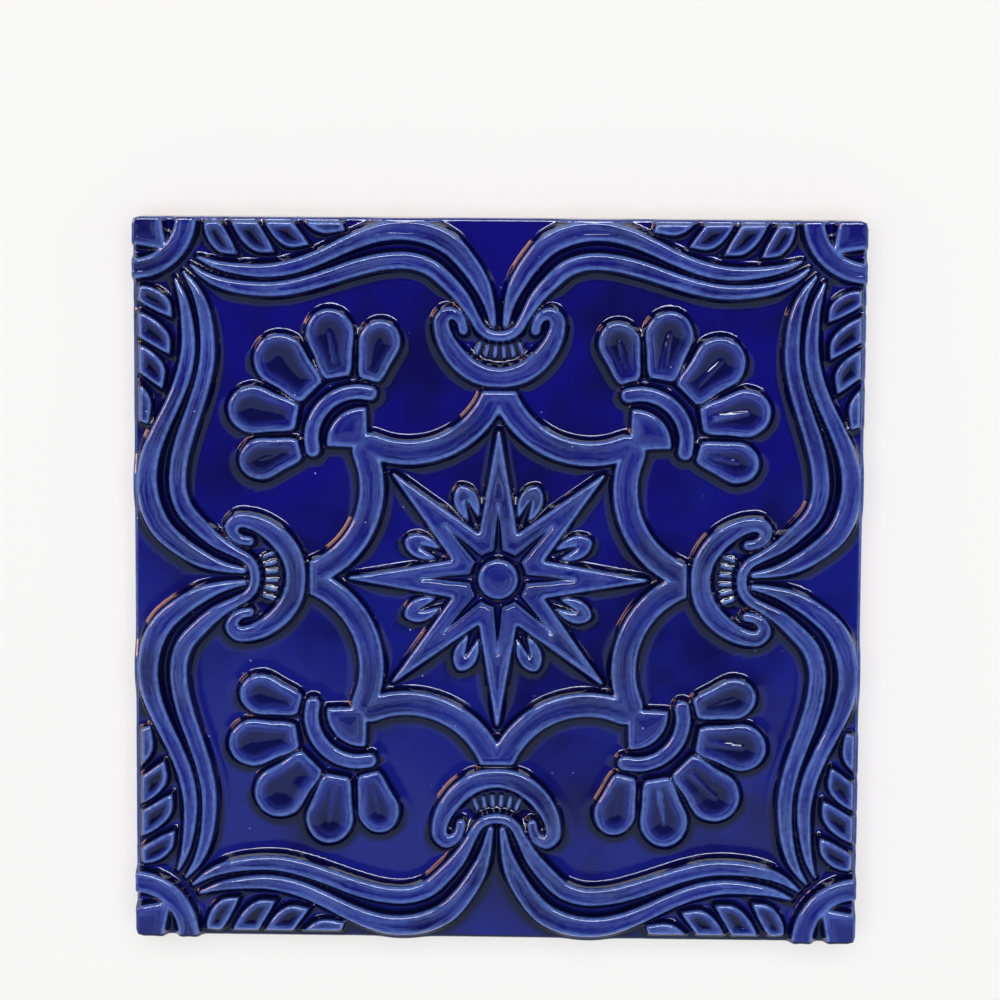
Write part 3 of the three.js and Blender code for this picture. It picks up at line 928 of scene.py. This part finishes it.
@dataclass
class TileMesh:
    """The tile's one closed surface: the pressed face, the rounded rim, the sides and the flat back."""

    segments: int = 296
    rim_radius: float = 0.8
    corner_radius: float = 1.2
    back_arris: float = 0.5
    rim_steps: int = 4
    side_rows: int = 3
    pull: float = 2.4  # how strongly the grid gathers where the surface bends
    passes: int = 140
    softness: float = 0.17  # how far the glaze rounds the pressed shape
    shine_softness: float = 0.1  # how much more the mirroring surface is rounded
    rim_fade: float = 1.6  # how far from the edge the relief begins to sink
    rim_sink: float = 0.1  # the share of its height that it has lost at the edge
    highest: float = 3.19  # over the ground
    relief: ReliefMap = field(default_factory=ReliefMap)

    # How much painted shade lies below a motif at each distance inside its outline
    RUN_AT = (-2.2, -1.8, -1.2, 0.0, 0.25)
    RUN_SHARE = (0.0, 0.75, 1.0, 1.0, 0.0)
    SHORTEST_RUN = 0.3  # the painted shade beside a motif, as a share of that below it
    # How far the pattern is shifted, and how much farther in the tile's middle
    DRIFT_ACROSS, DRIFT_UP, MIDDLE_DRIFT_UP = 0.2, 0.35, 0.6
    MIDDLE_HALF, MIDDLE_FADE = 46.0, 20.0
    # The greatest bend that is counted, how it is blurred, and the bend that pulls with full strength
    BEND_LIMIT, BEND_SOFTNESS, BEND_FULL = 6.0, 0.35, 1.2
    # What the rim's points carry: their distance inside an outline, and the painted shade on the rim along
    # the lower edge; and the least distance inside an outline that any point carries
    RIM_INSIDE, RIM_POOLING = 0.9, 0.9
    LEAST_INSIDE = -5.0

    def press(self) -> None:
        """Presses every motif into the relief, lets the glaze soften it, and paints the shade below the
        motifs.
        """
        for motif in (EdgeBands(), Crescents(), CurvedFrame(), Flowers(), CornerOrnaments(), Star()):
            motif.press(self.relief)
            LOG.info("pressed %s", type(motif).__name__)
        relief = self.relief
        whole = relief.whole()
        from_rim = HALF_SIDE - np.maximum(np.abs(whole.x), np.abs(whole.y))
        relief.height *= 1.0 - self.rim_sink * (1.0 - smooth(from_rim / self.rim_fade))
        relief.height += self.waves(whole.x, whole.y) * (1.0 - smooth(relief.height / 0.6))
        relief.height = np.minimum(relief.blurred(relief.height, self.softness), self.highest)
        self.let_run()

    def let_run(self) -> None:
        """Paints shade below and beside the motifs, on their sides that face the lower edge, into the
        pooling map.
        """
        relief = self.relief
        # Painted shade: near black on the sides of motifs that face the lower edge, below and beside them.
        facing_up = relief.blurred(-np.gradient(relief.inside, relief.cell, axis=0), 0.3)
        reach = self.SHORTEST_RUN + (1.0 - self.SHORTEST_RUN) * smooth((0.5 - facing_up) / 1.1)
        run = smooth((0.45 - facing_up) / 0.35)
        run *= np.interp(relief.inside / reach, self.RUN_AT, self.RUN_SHARE)
        relief.sunk = relief.blurred(np.maximum(relief.sunk, run), 0.1)

    def waves(self, x: np.ndarray, y: np.ndarray) -> np.ndarray:
        """The slow unevenness of the hand-pressed ground, in millimetres."""
        rise = 0.018 * np.sin(x / 5.3 + 0.7 * np.sin(y / 7.1)) * np.sin(y / 6.1 + 0.9 * np.sin(x / 8.3))
        rise += 0.03 * np.sin(x / 13.0 + 1.1) * np.sin(y / 11.0 + 0.4)
        return rise

    def drift(self, y: np.ndarray) -> tuple[np.ndarray, np.ndarray]:
        """How far the pressed pattern sits from its true place, across and up, in millimetres."""
        middle = 1.0 - smooth((np.abs(y) - self.MIDDLE_HALF) / self.MIDDLE_FADE)
        return self.DRIFT_ACROSS * middle, self.DRIFT_UP + self.MIDDLE_DRIFT_UP * middle

    def rounded(self, x: np.ndarray, y: np.ndarray) -> tuple[np.ndarray, np.ndarray]:
        """Fits a square grid into the face's rounded square.

        Args:
            x: places across, from -1 to 1.
            y: places up, from -1 to 1.

        Returns:
            The places in millimetres.
        """
        half = HALF_SIDE - self.rim_radius
        radius = self.corner_radius - self.rim_radius
        straight = half - radius
        high, low = np.maximum(np.abs(x), np.abs(y)), np.minimum(np.abs(x), np.abs(y))
        high = np.maximum(high, 1e-9)
        squares = high**2 + low**2
        total = straight * (high + low)
        root = np.maximum(total**2 - squares * (2 * straight**2 - radius**2), 0.0)
        reach = (total + np.sqrt(root)) / squares
        reach = np.where(low * half / high <= straight, half / high, reach)
        return x * reach * high, y * reach * high

    def gathered(self) -> tuple[np.ndarray, np.ndarray]:
        """Places of the grid's points, drawn closer together where the relief bends.

        Returns:
            Places across and up, in millimetres, one for each point of the square grid.
        """
        relief = self.relief
        rows, columns = np.gradient(relief.height, relief.cell)
        bend = np.abs(np.gradient(rows, relief.cell, axis=0))
        bend += np.abs(np.gradient(columns, relief.cell, axis=1))
        bend = relief.blurred(np.minimum(bend, self.BEND_LIMIT), self.BEND_SOFTNESS)
        weight = 1.0 + self.pull * np.clip(bend / self.BEND_FULL, 0.0, 1.0)
        axis = np.linspace(-1.0, 1.0, self.segments + 1)
        u, v = np.meshgrid(axis, axis)
        for _ in range(self.passes):
            x, y = self.rounded(u, v)
            dx, dy = self.drift(y)
            w = relief.sample(weight, x - dx, y - dy)
            across, up = w[:, 1:] + w[:, :-1], w[1:, :] + w[:-1, :]
            for grid in (u, v):
                pull = np.zeros_like(grid)
                total = np.zeros_like(grid)
                pull[:, 1:] += across * grid[:, :-1]
                pull[:, :-1] += across * grid[:, 1:]
                total[:, 1:] += across
                total[:, :-1] += across
                pull[1:, :] += up * grid[:-1, :]
                pull[:-1, :] += up * grid[1:, :]
                total[1:, :] += up
                total[:-1, :] += up
                moved = pull / total
                grid[1:-1, 1:-1] = moved[1:-1, 1:-1]
                if grid is u:
                    grid[[0, -1], 1:-1] = self.along_edge(grid[[0, -1]], across[[0, -1]])
                else:
                    sides = grid[:, [0, -1]].T
                    grid[1:-1, [0, -1]] = self.along_edge(sides, up[:, [0, -1]].T).T
        return self.rounded(u, v)

    @staticmethod
    def along_edge(places: np.ndarray, pull: np.ndarray) -> np.ndarray:
        """One pass of gathering along the rim, where points only slide along it."""
        before, after = pull[:, :-1], pull[:, 1:]
        return (before * places[:, :-2] + after * places[:, 2:]) / (before + after)

    def build(self, name: str) -> bpy.types.Object:
        """Builds the tile's mesh.

        Args:
            name: the piece's name.

        Returns:
            The new object, at the origin. Its points carry how far inside the nearest outline they
            lie, in millimetres, how much the glaze pools on them, and the painted shade below the motifs
            and on the lower rim.
        """
        self.press()
        relief = self.relief
        x, y = self.gathered()
        dx, dy = self.drift(y)
        shine = relief.blurred(relief.height, self.shine_softness)
        slope_y, slope_x = np.gradient(shine, relief.cell)
        maps = (relief.height, slope_x, slope_y, np.maximum(relief.inside, self.LEAST_INSIDE), relief.sunk)
        z, slope_x, slope_y, inside, sunk = (relief.sample(each, x - dx, y - dy) for each in maps)
        z = GROUND_LEVEL + z

        bm = bmesh.new()
        bmesh.ops.create_grid(bm, x_segments=self.segments, y_segments=self.segments, size=1.0)
        keys = ("inside", "sunk", "out_x", "out_y", "rim")
        layers = {key: bm.verts.layers.float.new(key) for key in keys}
        normals = []
        for vert in bm.verts:
            column = round((vert.co.x + 1.0) / 2.0 * self.segments)
            row = round((vert.co.y + 1.0) / 2.0 * self.segments)
            at = (float(x[row, column]), float(y[row, column]), float(z[row, column]))
            vert.co = Vector(at) * MM
            vert[layers["inside"]] = float(inside[row, column])
            vert[layers["sunk"]] = float(sunk[row, column])
            normals.append(Vector((-slope_x[row, column], -slope_y[row, column], 1.0)).normalized())
            if row in (0, self.segments) or column in (0, self.segments):
                vert[layers["out_x"]], vert[layers["out_y"]] = self.outward(at)
                vert[layers["rim"]] = at[2]
        self.wrap_rim(bm, layers)
        bmesh.ops.recalc_face_normals(bm, faces=bm.faces)
        put_in_order(bm)
        mesh = finished(bm, name)
        for key in ("out_x", "out_y", "rim"):
            mesh.attributes.remove(mesh.attributes[key])
        normals += [Vector((0.0, 0.0, 0.0))] * (len(mesh.vertices) - len(normals))  # left as they are
        mesh.normals_split_custom_set_from_vertices(normals)
        return shown(name, mesh)

    def outward(self, at: tuple[float, float, float]) -> Vector:
        """The level direction from a point of the face's edge to the rim beside it."""
        straight = HALF_SIDE - self.corner_radius
        out = Vector((at[0] - min(max(at[0], -straight), straight), 0.0))
        out.y = at[1] - min(max(at[1], -straight), straight)
        if abs(out.x) > abs(out.y) and abs(at[1]) <= straight:
            out = Vector((math.copysign(1.0, at[0]), 0.0))
        elif abs(out.y) > abs(out.x) and abs(at[0]) <= straight:
            out = Vector((0.0, math.copysign(1.0, at[1])))
        return out.normalized()

    def wrap_rim(self, bm: bmesh.types.BMesh, layers: dict[str, bmesh.types.BMLayerItem]) -> None:
        """Carries the face's edge over the rim, down the sides and closes the back.

        Args:
            bm: the mesh with the finished face.
            layers: the point layers, with each rim point's outward direction and level.
        """
        for face in bm.faces:
            face.smooth = True
        rows = []
        for i in range(1, self.rim_steps + 1):
            turn = math.pi / 2 * i / self.rim_steps
            rows.append((self.rim_radius * math.sin(turn), self.rim_radius * (1 - math.cos(turn)), 1.0))
        for i in range(1, self.side_rows + 1):
            rows.append((self.rim_radius, self.rim_radius, 1.0 - i / self.side_rows))
        rows.append((self.rim_radius - self.back_arris, None, 0.0))
        inner_start = {}
        loop = [edge for edge in bm.edges if edge.is_boundary]
        for vert in {vert for edge in loop for vert in edge.verts}:
            inner_start[vert] = vert.co.copy()
        for number, (outset, drop, share) in enumerate(rows):
            before = {vert: inner_start[vert] for edge in loop for vert in edge.verts}
            made = bmesh.ops.extrude_edge_only(bm, edges=loop)["geom"]
            loop = [item for item in made if isinstance(item, bmesh.types.BMEdge) and item.is_boundary]
            fresh = {vert for edge in loop for vert in edge.verts}
            by_place = {tuple(round(c, 7) for c in vert.co): start for vert, start in before.items()}
            for vert in fresh:
                start = by_place[tuple(round(c, 7) for c in vert.co)]
                inner_start[vert] = start
                out = Vector((vert[layers["out_x"]], vert[layers["out_y"]], 0.0))
                level = 0.0
                if drop is not None:
                    edge_level = vert[layers["rim"]] - drop
                    level = self.back_arris + (edge_level - self.back_arris) * share
                place = start + out * outset * MM
                vert.co = (place.x, place.y, level * MM)
                if number < self.rim_steps:
                    vert[layers["inside"]] = self.RIM_INSIDE
                    # painted shade: the rim darkens where it faces the lower edge
                    vert[layers["sunk"]] = self.RIM_POOLING * max(0.0, -out.y)
        for edge in loop:
            edge.smooth = False
        bmesh.ops.edgeloop_fill(bm, edges=loop)


class Grain(Enum):
    """How many features of each pattern fit in a metre."""

    CLOUDS = 62.0
    LOW_EDGE = 75.0
    STREAKS = 110.0
    CLAY_EDGE = 160.0
    PITS = 210.0
    GLOSS = 220.0
    STREAK_BENDS = 240.0
    SPECKS = 330.0
    CLAY_PATCHES = 450.0
    PEEL = 700.0
    MOTTLE = 900.0
    CLAY_GRAIN = 2500.0


class Shading:
    """A short way to wire shader nodes."""

    def __init__(self, tree: bpy.types.NodeTree) -> None:
        """Empties the tree and keeps it."""
        self.tree = tree
        tree.nodes.clear()

    def add(self, kind: str, inputs: dict | None = None, **settings: object) -> bpy.types.Node:
        """Adds a node.

        Args:
            kind: the node's type.
            inputs: what each input takes, by name or number: a value or another node's output.
            **settings: the node's own options.

        Returns:
            The node.
        """
        node = self.tree.nodes.new(kind)
        for key, value in settings.items():
            setattr(node, key, value)
        for key, value in (inputs or {}).items():
            if isinstance(value, bpy.types.NodeSocket):
                self.tree.links.new(value, node.inputs[key])
            else:
                node.inputs[key].default_value = value
        return node

    def math(self, operation: str, *values: object, clamp: bool = False) -> bpy.types.NodeSocket:
        """The output of one sum."""
        node = self.add("ShaderNodeMath", dict(enumerate(values)), operation=operation, use_clamp=clamp)
        return node.outputs[0]

    def part(self, vector: object, number: int) -> bpy.types.NodeSocket:
        """One of a vector's three parts."""
        return self.add("ShaderNodeSeparateXYZ", {0: vector}).outputs[number]

    def blend(self, share: object, first: object, second: object) -> bpy.types.NodeSocket:
        """A mix of two colours."""
        node = self.add("ShaderNodeMix", {0: share, 6: first, 7: second}, data_type="RGBA")
        return node.outputs[2]

    def step(self, value: object, low: float, high: float) -> bpy.types.NodeSocket:
        """A soft step from 0 at one value to 1 at another."""
        ends = {0: value, 1: low, 2: high, 3: 0.0, 4: 1.0}
        return self.add("ShaderNodeMapRange", ends, interpolation_type="SMOOTHSTEP").outputs[0]

    def curve(self, value: object, stops: Sequence[Point]) -> bpy.types.NodeSocket:
        """A value read off a soft line through some stops.

        Args:
            value: where along the line to read it.
            stops: the places of the stops in rising order, each with the line's height there.

        Returns:
            The line's height.
        """
        low, high = stops[0][0], stops[-1][0]
        share = self.add("ShaderNodeMapRange", {0: value, 1: low, 2: high}).outputs[0]
        ramp = self.add("ShaderNodeValToRGB", {0: share})
        line = ramp.color_ramp
        line.interpolation = "EASE"
        line.elements[1].position = 1.0
        for at, _ in stops[1:-1]:
            line.elements.new((at - low) / (high - low))
        for stop, (_, height) in zip(line.elements, stops):
            stop.color = (height, height, height, 1.0)
        return ramp.outputs[0]

    def noise(self, place: object, grain: Grain, detail: float = 2.0) -> bpy.types.NodeSocket:
        """Soft noise from 0 to 1."""
        node = self.add("ShaderNodeTexNoise", {"Vector": place, "Scale": grain.value, "Detail": detail})
        return node.outputs[0]

    def strewn(
        self, place: object, grain: Grain, output: int
    ) -> tuple[bpy.types.NodeSocket, bpy.types.NodeSocket]:
        """Points strewn over the surface.

        Args:
            place: the object's own coordinates.
            grain: how closely the points lie.
            output: which part of each point's random colour is its lot.

        Returns:
            The distance from the nearest point, and that point's lot, from 0 to 1.
        """
        cells = self.add("ShaderNodeTexVoronoi", {"Vector": place, "Scale": grain.value})
        lot = self.add("ShaderNodeSeparateColor", {0: cells.outputs["Color"]}).outputs[output]
        return cells.outputs["Distance"], lot


def rgba(colour: Colour) -> tuple[float, float, float, float]:
    """A colour with full cover."""
    return (*colour, 1.0)


@dataclass(frozen=True)
class CobaltGlaze:
    """A deep blue glaze that runs thin and pale over edges and pools nearly black in hollows.

    It also carries painted shade below the motifs and a painted reflection that lightens the lower ground.
    """

    ground: Colour = (0.006, 0.005, 0.18)
    deep_ground: Colour = (0.005, 0.004, 0.085)
    low_ground: Colour = (0.0075, 0.011, 0.195)  # painted reflection that lightens the ground in the lower half
    # the near black of pooled glaze, also used for the painted shade below the motifs and on the lower rim
    pooled: Colour = (0.002, 0.002, 0.026)
    thin: Colour = (0.135, 0.215, 0.6)
    speck: Colour = (0.3, 0.36, 0.75)
    biscuit: Colour = (0.62, 0.5, 0.39)
    dark_biscuit: Colour = (0.5, 0.38, 0.28)
    roughness: float = 0.045

    # How far inside an outline the glaze lies, in millimetres, and how thin or how pooled it is there.
    THIN = (
        (0.0, 0.0),
        (0.12, 0.3),
        (0.28, 0.85),
        (0.42, 1.0),
        (0.6, 0.58),
        (0.85, 0.26),
        (1.2, 0.13),
        (1.8, 0.08),
        (3.0, 0.03),
    )
    POOL = ((-0.8, 0.0), (-0.5, 0.7), (-0.25, 1.0), (0.02, 0.9), (0.18, 0.4), (0.32, 0.0))
    STREAKED = ((0.3, 0.0), (0.7, 1.0), (1.3, 0.9), (2.2, 0.2), (3.0, 0.0))
    STREAKS_PER_MM = 1.9
    STREAK_GAIN, STREAK_LOSS = 0.36, -0.1
    STREAK_BEND = 1.2  # how far noise shifts a streak, in millimetres

    # The values between which each pattern's noise, distance or lot takes effect
    CLOUDED = (0.42, 0.72)
    MOTTLED = (0.3, 0.7)
    STREAKY = (0.34, 0.7)
    SPECK_EDGE, SPECK_LOT = (0.03, 0.07), (0.6, 0.9)
    PIT_EDGE, PIT_LOT = (0.0, 0.045), 0.72

    # Heights in metres: up the face from the upper ground to the lower one with its painted reflection,
    # and up the sides from the clay to the glaze, each with the noise that makes its edge wavy.
    LOW_GROUND, LOW_WAVE = (0.058, 0.03), 0.07
    BARE_EDGE, BARE_WAVE, BARE_FROM = (-0.00005, 0.00012), 0.0022, -0.0004
    SMOOTH_BACK = (0.0, 0.0004)

    # The bump: its scale in metres, and how many times that each pattern rises
    BUMP = 0.00004
    PEEL_RISE, PIT_RISE, GRAIN_RISE = 0.12, -1.4, 2.5

    def material(self) -> bpy.types.Material:
        """Builds the glaze, with bare fired clay below its lower edge.

        Returns:
            The material.
        """
        material = bpy.data.materials.new("cobalt_glaze")
        material.use_nodes = True
        nodes = Shading(material.node_tree)
        place = nodes.add("ShaderNodeTexCoord").outputs["Object"]
        inside = nodes.add("ShaderNodeAttribute", attribute_name="inside").outputs["Fac"]
        sunk = nodes.add("ShaderNodeAttribute", attribute_name="sunk").outputs["Fac"]
        thin = nodes.curve(inside, self.THIN)
        # pooled glaze in the hollows, together with the painted shade below the motifs and on the lower
        # rim
        pool = nodes.math("MAXIMUM", nodes.curve(inside, self.POOL), sunk)
        cloud = nodes.step(nodes.noise(place, Grain.CLOUDS), *self.CLOUDED)
        fine = nodes.noise(place, Grain.MOTTLE, 3.0)
        # Painted reflection: the ground below a wavy line near the top edge is lighter.
        up = nodes.part(place, 1)
        wavy = nodes.math("MULTIPLY_ADD", nodes.noise(place, Grain.LOW_EDGE, 1.5), self.LOW_WAVE, up)
        low = nodes.step(wavy, *self.LOW_GROUND)
        ground = nodes.blend(low, rgba(self.ground), rgba(self.low_ground))
        ground = nodes.blend(cloud, ground, rgba(self.deep_ground))
        mottle = nodes.math("MULTIPLY_ADD", nodes.step(fine, *self.MOTTLED), 0.55, 0.7)
        thin = nodes.math("MULTIPLY_ADD", thin, mottle, self.streaks(nodes, place, inside), clamp=True)
        glaze = nodes.blend(thin, ground, rgba(self.thin))
        # near black for pooled glaze and for the painted shade
        glaze = nodes.blend(pool, glaze, rgba(self.pooled))
        glaze = nodes.blend(self.specks(nodes, place), glaze, rgba(self.speck))
        level = nodes.part(place, 2)
        runs = nodes.noise(place, Grain.CLAY_EDGE, 3.0)
        runs = nodes.math("MULTIPLY_ADD", runs, self.BARE_WAVE, self.BARE_FROM)
        bare = nodes.step(nodes.math("SUBTRACT", runs, level), *self.BARE_EDGE)
        patches = nodes.noise(place, Grain.CLAY_PATCHES, 4.0)
        clay = nodes.blend(patches, rgba(self.biscuit), rgba(self.dark_biscuit))
        colour = nodes.blend(bare, glaze, clay)
        gloss = nodes.math("MULTIPLY_ADD", nodes.noise(place, Grain.GLOSS), 0.03, self.roughness - 0.015)
        rough = nodes.math("ADD", gloss, nodes.math("MULTIPLY", bare, 0.75))
        shader = nodes.add(
            "ShaderNodeBsdfPrincipled",
            {
                "Base Color": colour,
                "Roughness": rough,
                "IOR": 1.5,
                "Normal": self.surface(nodes, place, bare),
            },
        )
        nodes.add("ShaderNodeOutputMaterial", {0: shader.outputs[0]})
        return material

    def streaks(
        self, nodes: Shading, place: bpy.types.NodeSocket, inside: bpy.types.NodeSocket
    ) -> bpy.types.NodeSocket:
        """Long streaks on the motifs, along their outlines, where the glaze lies thinner or thicker.

        Args:
            nodes: the material's nodes.
            place: the object's own coordinates.
            inside: how far inside an outline the place lies, in millimetres.

        Returns:
            What the streaks add to the glaze's thinness, from STREAK_LOSS to their sum with STREAK_GAIN.
        """
        bend = nodes.noise(place, Grain.STREAK_BENDS, 1.0)
        bent = nodes.math("MULTIPLY_ADD", bend, self.STREAK_BEND, inside)
        across = nodes.math("MULTIPLY", bent, self.STREAKS_PER_MM / Grain.STREAKS.value)
        noise = nodes.add(
            "ShaderNodeTexNoise",
            {"Vector": place, "W": across, "Scale": Grain.STREAKS.value, "Detail": 2.0},
            noise_dimensions="4D",
        )
        streak = nodes.step(noise.outputs[0], *self.STREAKY)
        streak = nodes.math("MULTIPLY_ADD", streak, self.STREAK_GAIN, self.STREAK_LOSS)
        return nodes.math("MULTIPLY", streak, nodes.curve(inside, self.STREAKED))

    def specks(self, nodes: Shading, place: bpy.types.NodeSocket) -> bpy.types.NodeSocket:
        """Tiny pale specks, each up to 0.4 mm across, strewn thinly through the glaze."""
        distance, lot = nodes.strewn(place, Grain.SPECKS, 1)
        speck = nodes.math("SUBTRACT", 1.0, nodes.step(distance, *self.SPECK_EDGE))
        return nodes.math("MULTIPLY", speck, nodes.step(lot, *self.SPECK_LOT))

    def surface(
        self, nodes: Shading, place: bpy.types.NodeSocket, bare: bpy.types.NodeSocket
    ) -> bpy.types.NodeSocket:
        """The glaze's faint waviness and pinholes, and the clay's grain. The back is smooth.

        Args:
            nodes: the material's nodes.
            place: the object's own coordinates.
            bare: 1 where the clay is bare.

        Returns:
            The bent normal.
        """
        peel = nodes.noise(place, Grain.PEEL, 1.0)
        distance, lot = nodes.strewn(place, Grain.PITS, 0)
        pit = nodes.math("SUBTRACT", 1.0, nodes.step(distance, *self.PIT_EDGE))
        pit = nodes.math("MULTIPLY", pit, nodes.math("GREATER_THAN", lot, self.PIT_LOT))
        peel = nodes.math("MULTIPLY", peel, self.PEEL_RISE)
        height = nodes.math("MULTIPLY_ADD", pit, self.PIT_RISE, peel)
        coarse = nodes.math("MULTIPLY", bare, self.GRAIN_RISE)
        grain = nodes.math("MULTIPLY", nodes.noise(place, Grain.CLAY_GRAIN, 4.0), coarse)
        height = nodes.math("ADD", height, grain)
        level = nodes.part(place, 2)
        height = nodes.math("MULTIPLY", height, nodes.step(level, *self.SMOOTH_BACK))
        bump = nodes.add("ShaderNodeBump", {"Height": height, "Strength": 1.0, "Distance": self.BUMP})
        return bump.outputs[0]


@dataclass
class ReliefTile:
    """The tile as one dressed piece."""

    name: str = "glazed_tile"
    mesh: TileMesh = field(default_factory=TileMesh)
    glaze: CobaltGlaze = CobaltGlaze()

    def build(self) -> bpy.types.Object:
        """Builds the tile, glazes it and ties it to the frame."""
        piece = self.mesh.build(self.name)
        piece.data.materials.append(self.glaze.material())
        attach(piece, "root")
        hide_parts("relief_tile")
        return piece


@dataclass(frozen=True)
class Lamp:
    """A rectangular lamp that faces the tile."""

    name: str
    at: tuple[float, float, float]
    size: Point
    power: float  # in watts
    colour: Colour
    mirrored: bool  # it is only mirrored in the glaze, or else only lights the room

    def hang(self) -> bpy.types.Object:
        """Hangs the lamp."""
        data = bpy.data.lights.new(self.name, "AREA")
        data.shape = "RECTANGLE"
        data.size, data.size_y = self.size
        data.energy = self.power
        data.color = self.colour
        lamp = shown(self.name, data)
        lamp.location = self.at
        lamp.rotation_euler = (-Vector(self.at)).to_track_quat("-Z", "Y").to_euler()
        lamp.visible_camera = False
        lamp.visible_glossy = self.mirrored
        lamp.visible_diffuse = not self.mirrored
        return lamp


@dataclass
class Studio:
    """The pale floor, the soft room round it, the lamps and the camera."""

    floor_half: float = 4.0
    floor_colour: Colour = (0.45, 0.45, 0.45)
    floor_glow: Colour = (1.0, 0.94, 0.9)
    floor_glow_strength: float = 0.52
    bright_room: Colour = (0.43, 0.54, 0.61)
    dark_room: Colour = (0.03, 0.03, 0.035)
    backdrop: Colour = (0.93, 0.935, 0.94)
    camera_place: Point = (0.01523, 0.08941)
    camera_height: float = 0.64
    camera_turn: tuple[float, float, float] = (-6.612, 1.358, 0.436)  # a rotation vector, in degrees
    focal: float = 119.3
    lamps: Sequence[Lamp] = (
        Lamp("softbox", (0.0, 0.95, 0.85), (1.5, 0.34), 32.0, (0.93, 0.97, 1.0), True),
        Lamp("warm", (-0.9, 0.5, 0.3), (0.5, 0.36), 11.0, (1.0, 0.5, 0.24), True),
        Lamp("fill", (0.0, 0.5, 2.2), (2.4, 2.4), 49.0, (1.0, 1.0, 1.0), False),
    )

    # The dark part of the room ends along a curve over the tile, given by the direction's x and y.
    DARK_FROM, DARK_OPENING, DARK_ROUNDING = -0.235, 0.55, 0.0025
    DARK_EDGE = (-0.03, 0.05)

    def floor(self) -> bpy.types.Object:
        """Lays the floor, which glows a little so that the shadows on it stay faint."""
        bm = bmesh.new()
        bmesh.ops.create_grid(bm, x_segments=1, y_segments=1, size=self.floor_half)
        mesh = finished(bm, "floor")
        floor = shown("floor", mesh)
        material = bpy.data.materials.new("pale_floor")
        material.use_nodes = True
        nodes = Shading(material.node_tree)
        shader = nodes.add(
            "ShaderNodeBsdfPrincipled",
            {
                "Base Color": rgba(self.floor_colour),
                "Roughness": 0.9,
                "Specular IOR Level": 0.1,
                "Emission Color": rgba(self.floor_glow),
                "Emission Strength": self.floor_glow_strength,
            },
        )
        nodes.add("ShaderNodeOutputMaterial", {0: shader.outputs[0]})
        mesh.materials.append(material)
        return floor

    def room(self) -> None:
        """Surrounds the tile with a bright room, dark overhead and behind the tile's top edge."""
        world = bpy.data.worlds.new("room")
        bpy.context.scene.world = world
        world.use_nodes = True
        nodes = Shading(world.node_tree)
        way = nodes.add("ShaderNodeTexCoord").outputs["Generated"]
        x, y = nodes.part(way, 0), nodes.part(way, 1)
        spread = nodes.math("SQRT", nodes.math("MULTIPLY_ADD", x, x, self.DARK_ROUNDING))
        behind = nodes.math("SUBTRACT", y, self.DARK_FROM)
        edge = nodes.math("MULTIPLY_ADD", spread, -self.DARK_OPENING, behind)
        dark = nodes.step(edge, *self.DARK_EDGE)
        light = nodes.blend(dark, rgba(self.bright_room), rgba(self.dark_room))
        seen = nodes.add("ShaderNodeLightPath").outputs["Is Camera Ray"]
        light = nodes.blend(seen, light, rgba(self.backdrop))
        background = nodes.add("ShaderNodeBackground", {0: light, 1: 1.0})
        nodes.add("ShaderNodeOutputWorld", {0: background.outputs[0]})

    def camera(self) -> bpy.types.Object:
        """Sets the camera at the photograph's viewing angle."""
        data = bpy.data.cameras.new("camera")
        data.lens = self.focal
        data.sensor_width = 36.0
        data.clip_start, data.clip_end = 0.01, 50.0
        camera = shown("camera", data)
        camera.location = (*self.camera_place, self.camera_height)
        turn = Vector(self.camera_turn) * (math.pi / 180)
        camera.rotation_mode = "AXIS_ANGLE"
        camera.rotation_axis_angle = (turn.length, *turn.normalized())
        bpy.context.scene.camera = camera
        return camera

    def build(self) -> None:
        """Builds the whole studio."""
        self.floor()
        self.room()
        for lamp in self.lamps:
            lamp.hang()
        self.camera()
        view = bpy.context.scene.view_settings
        view.view_transform = "Standard"
        view.look = "None"


def main() -> None:
    """Builds the tile and the studio."""
    logging.basicConfig(level=logging.INFO, format="%(name)s: %(message)s")
    tile = ReliefTile().build()
    LOG.info("built %s with %d faces", tile.name, len(tile.data.polygons))
    Studio().build()


if __name__ == "__main__":
    main()
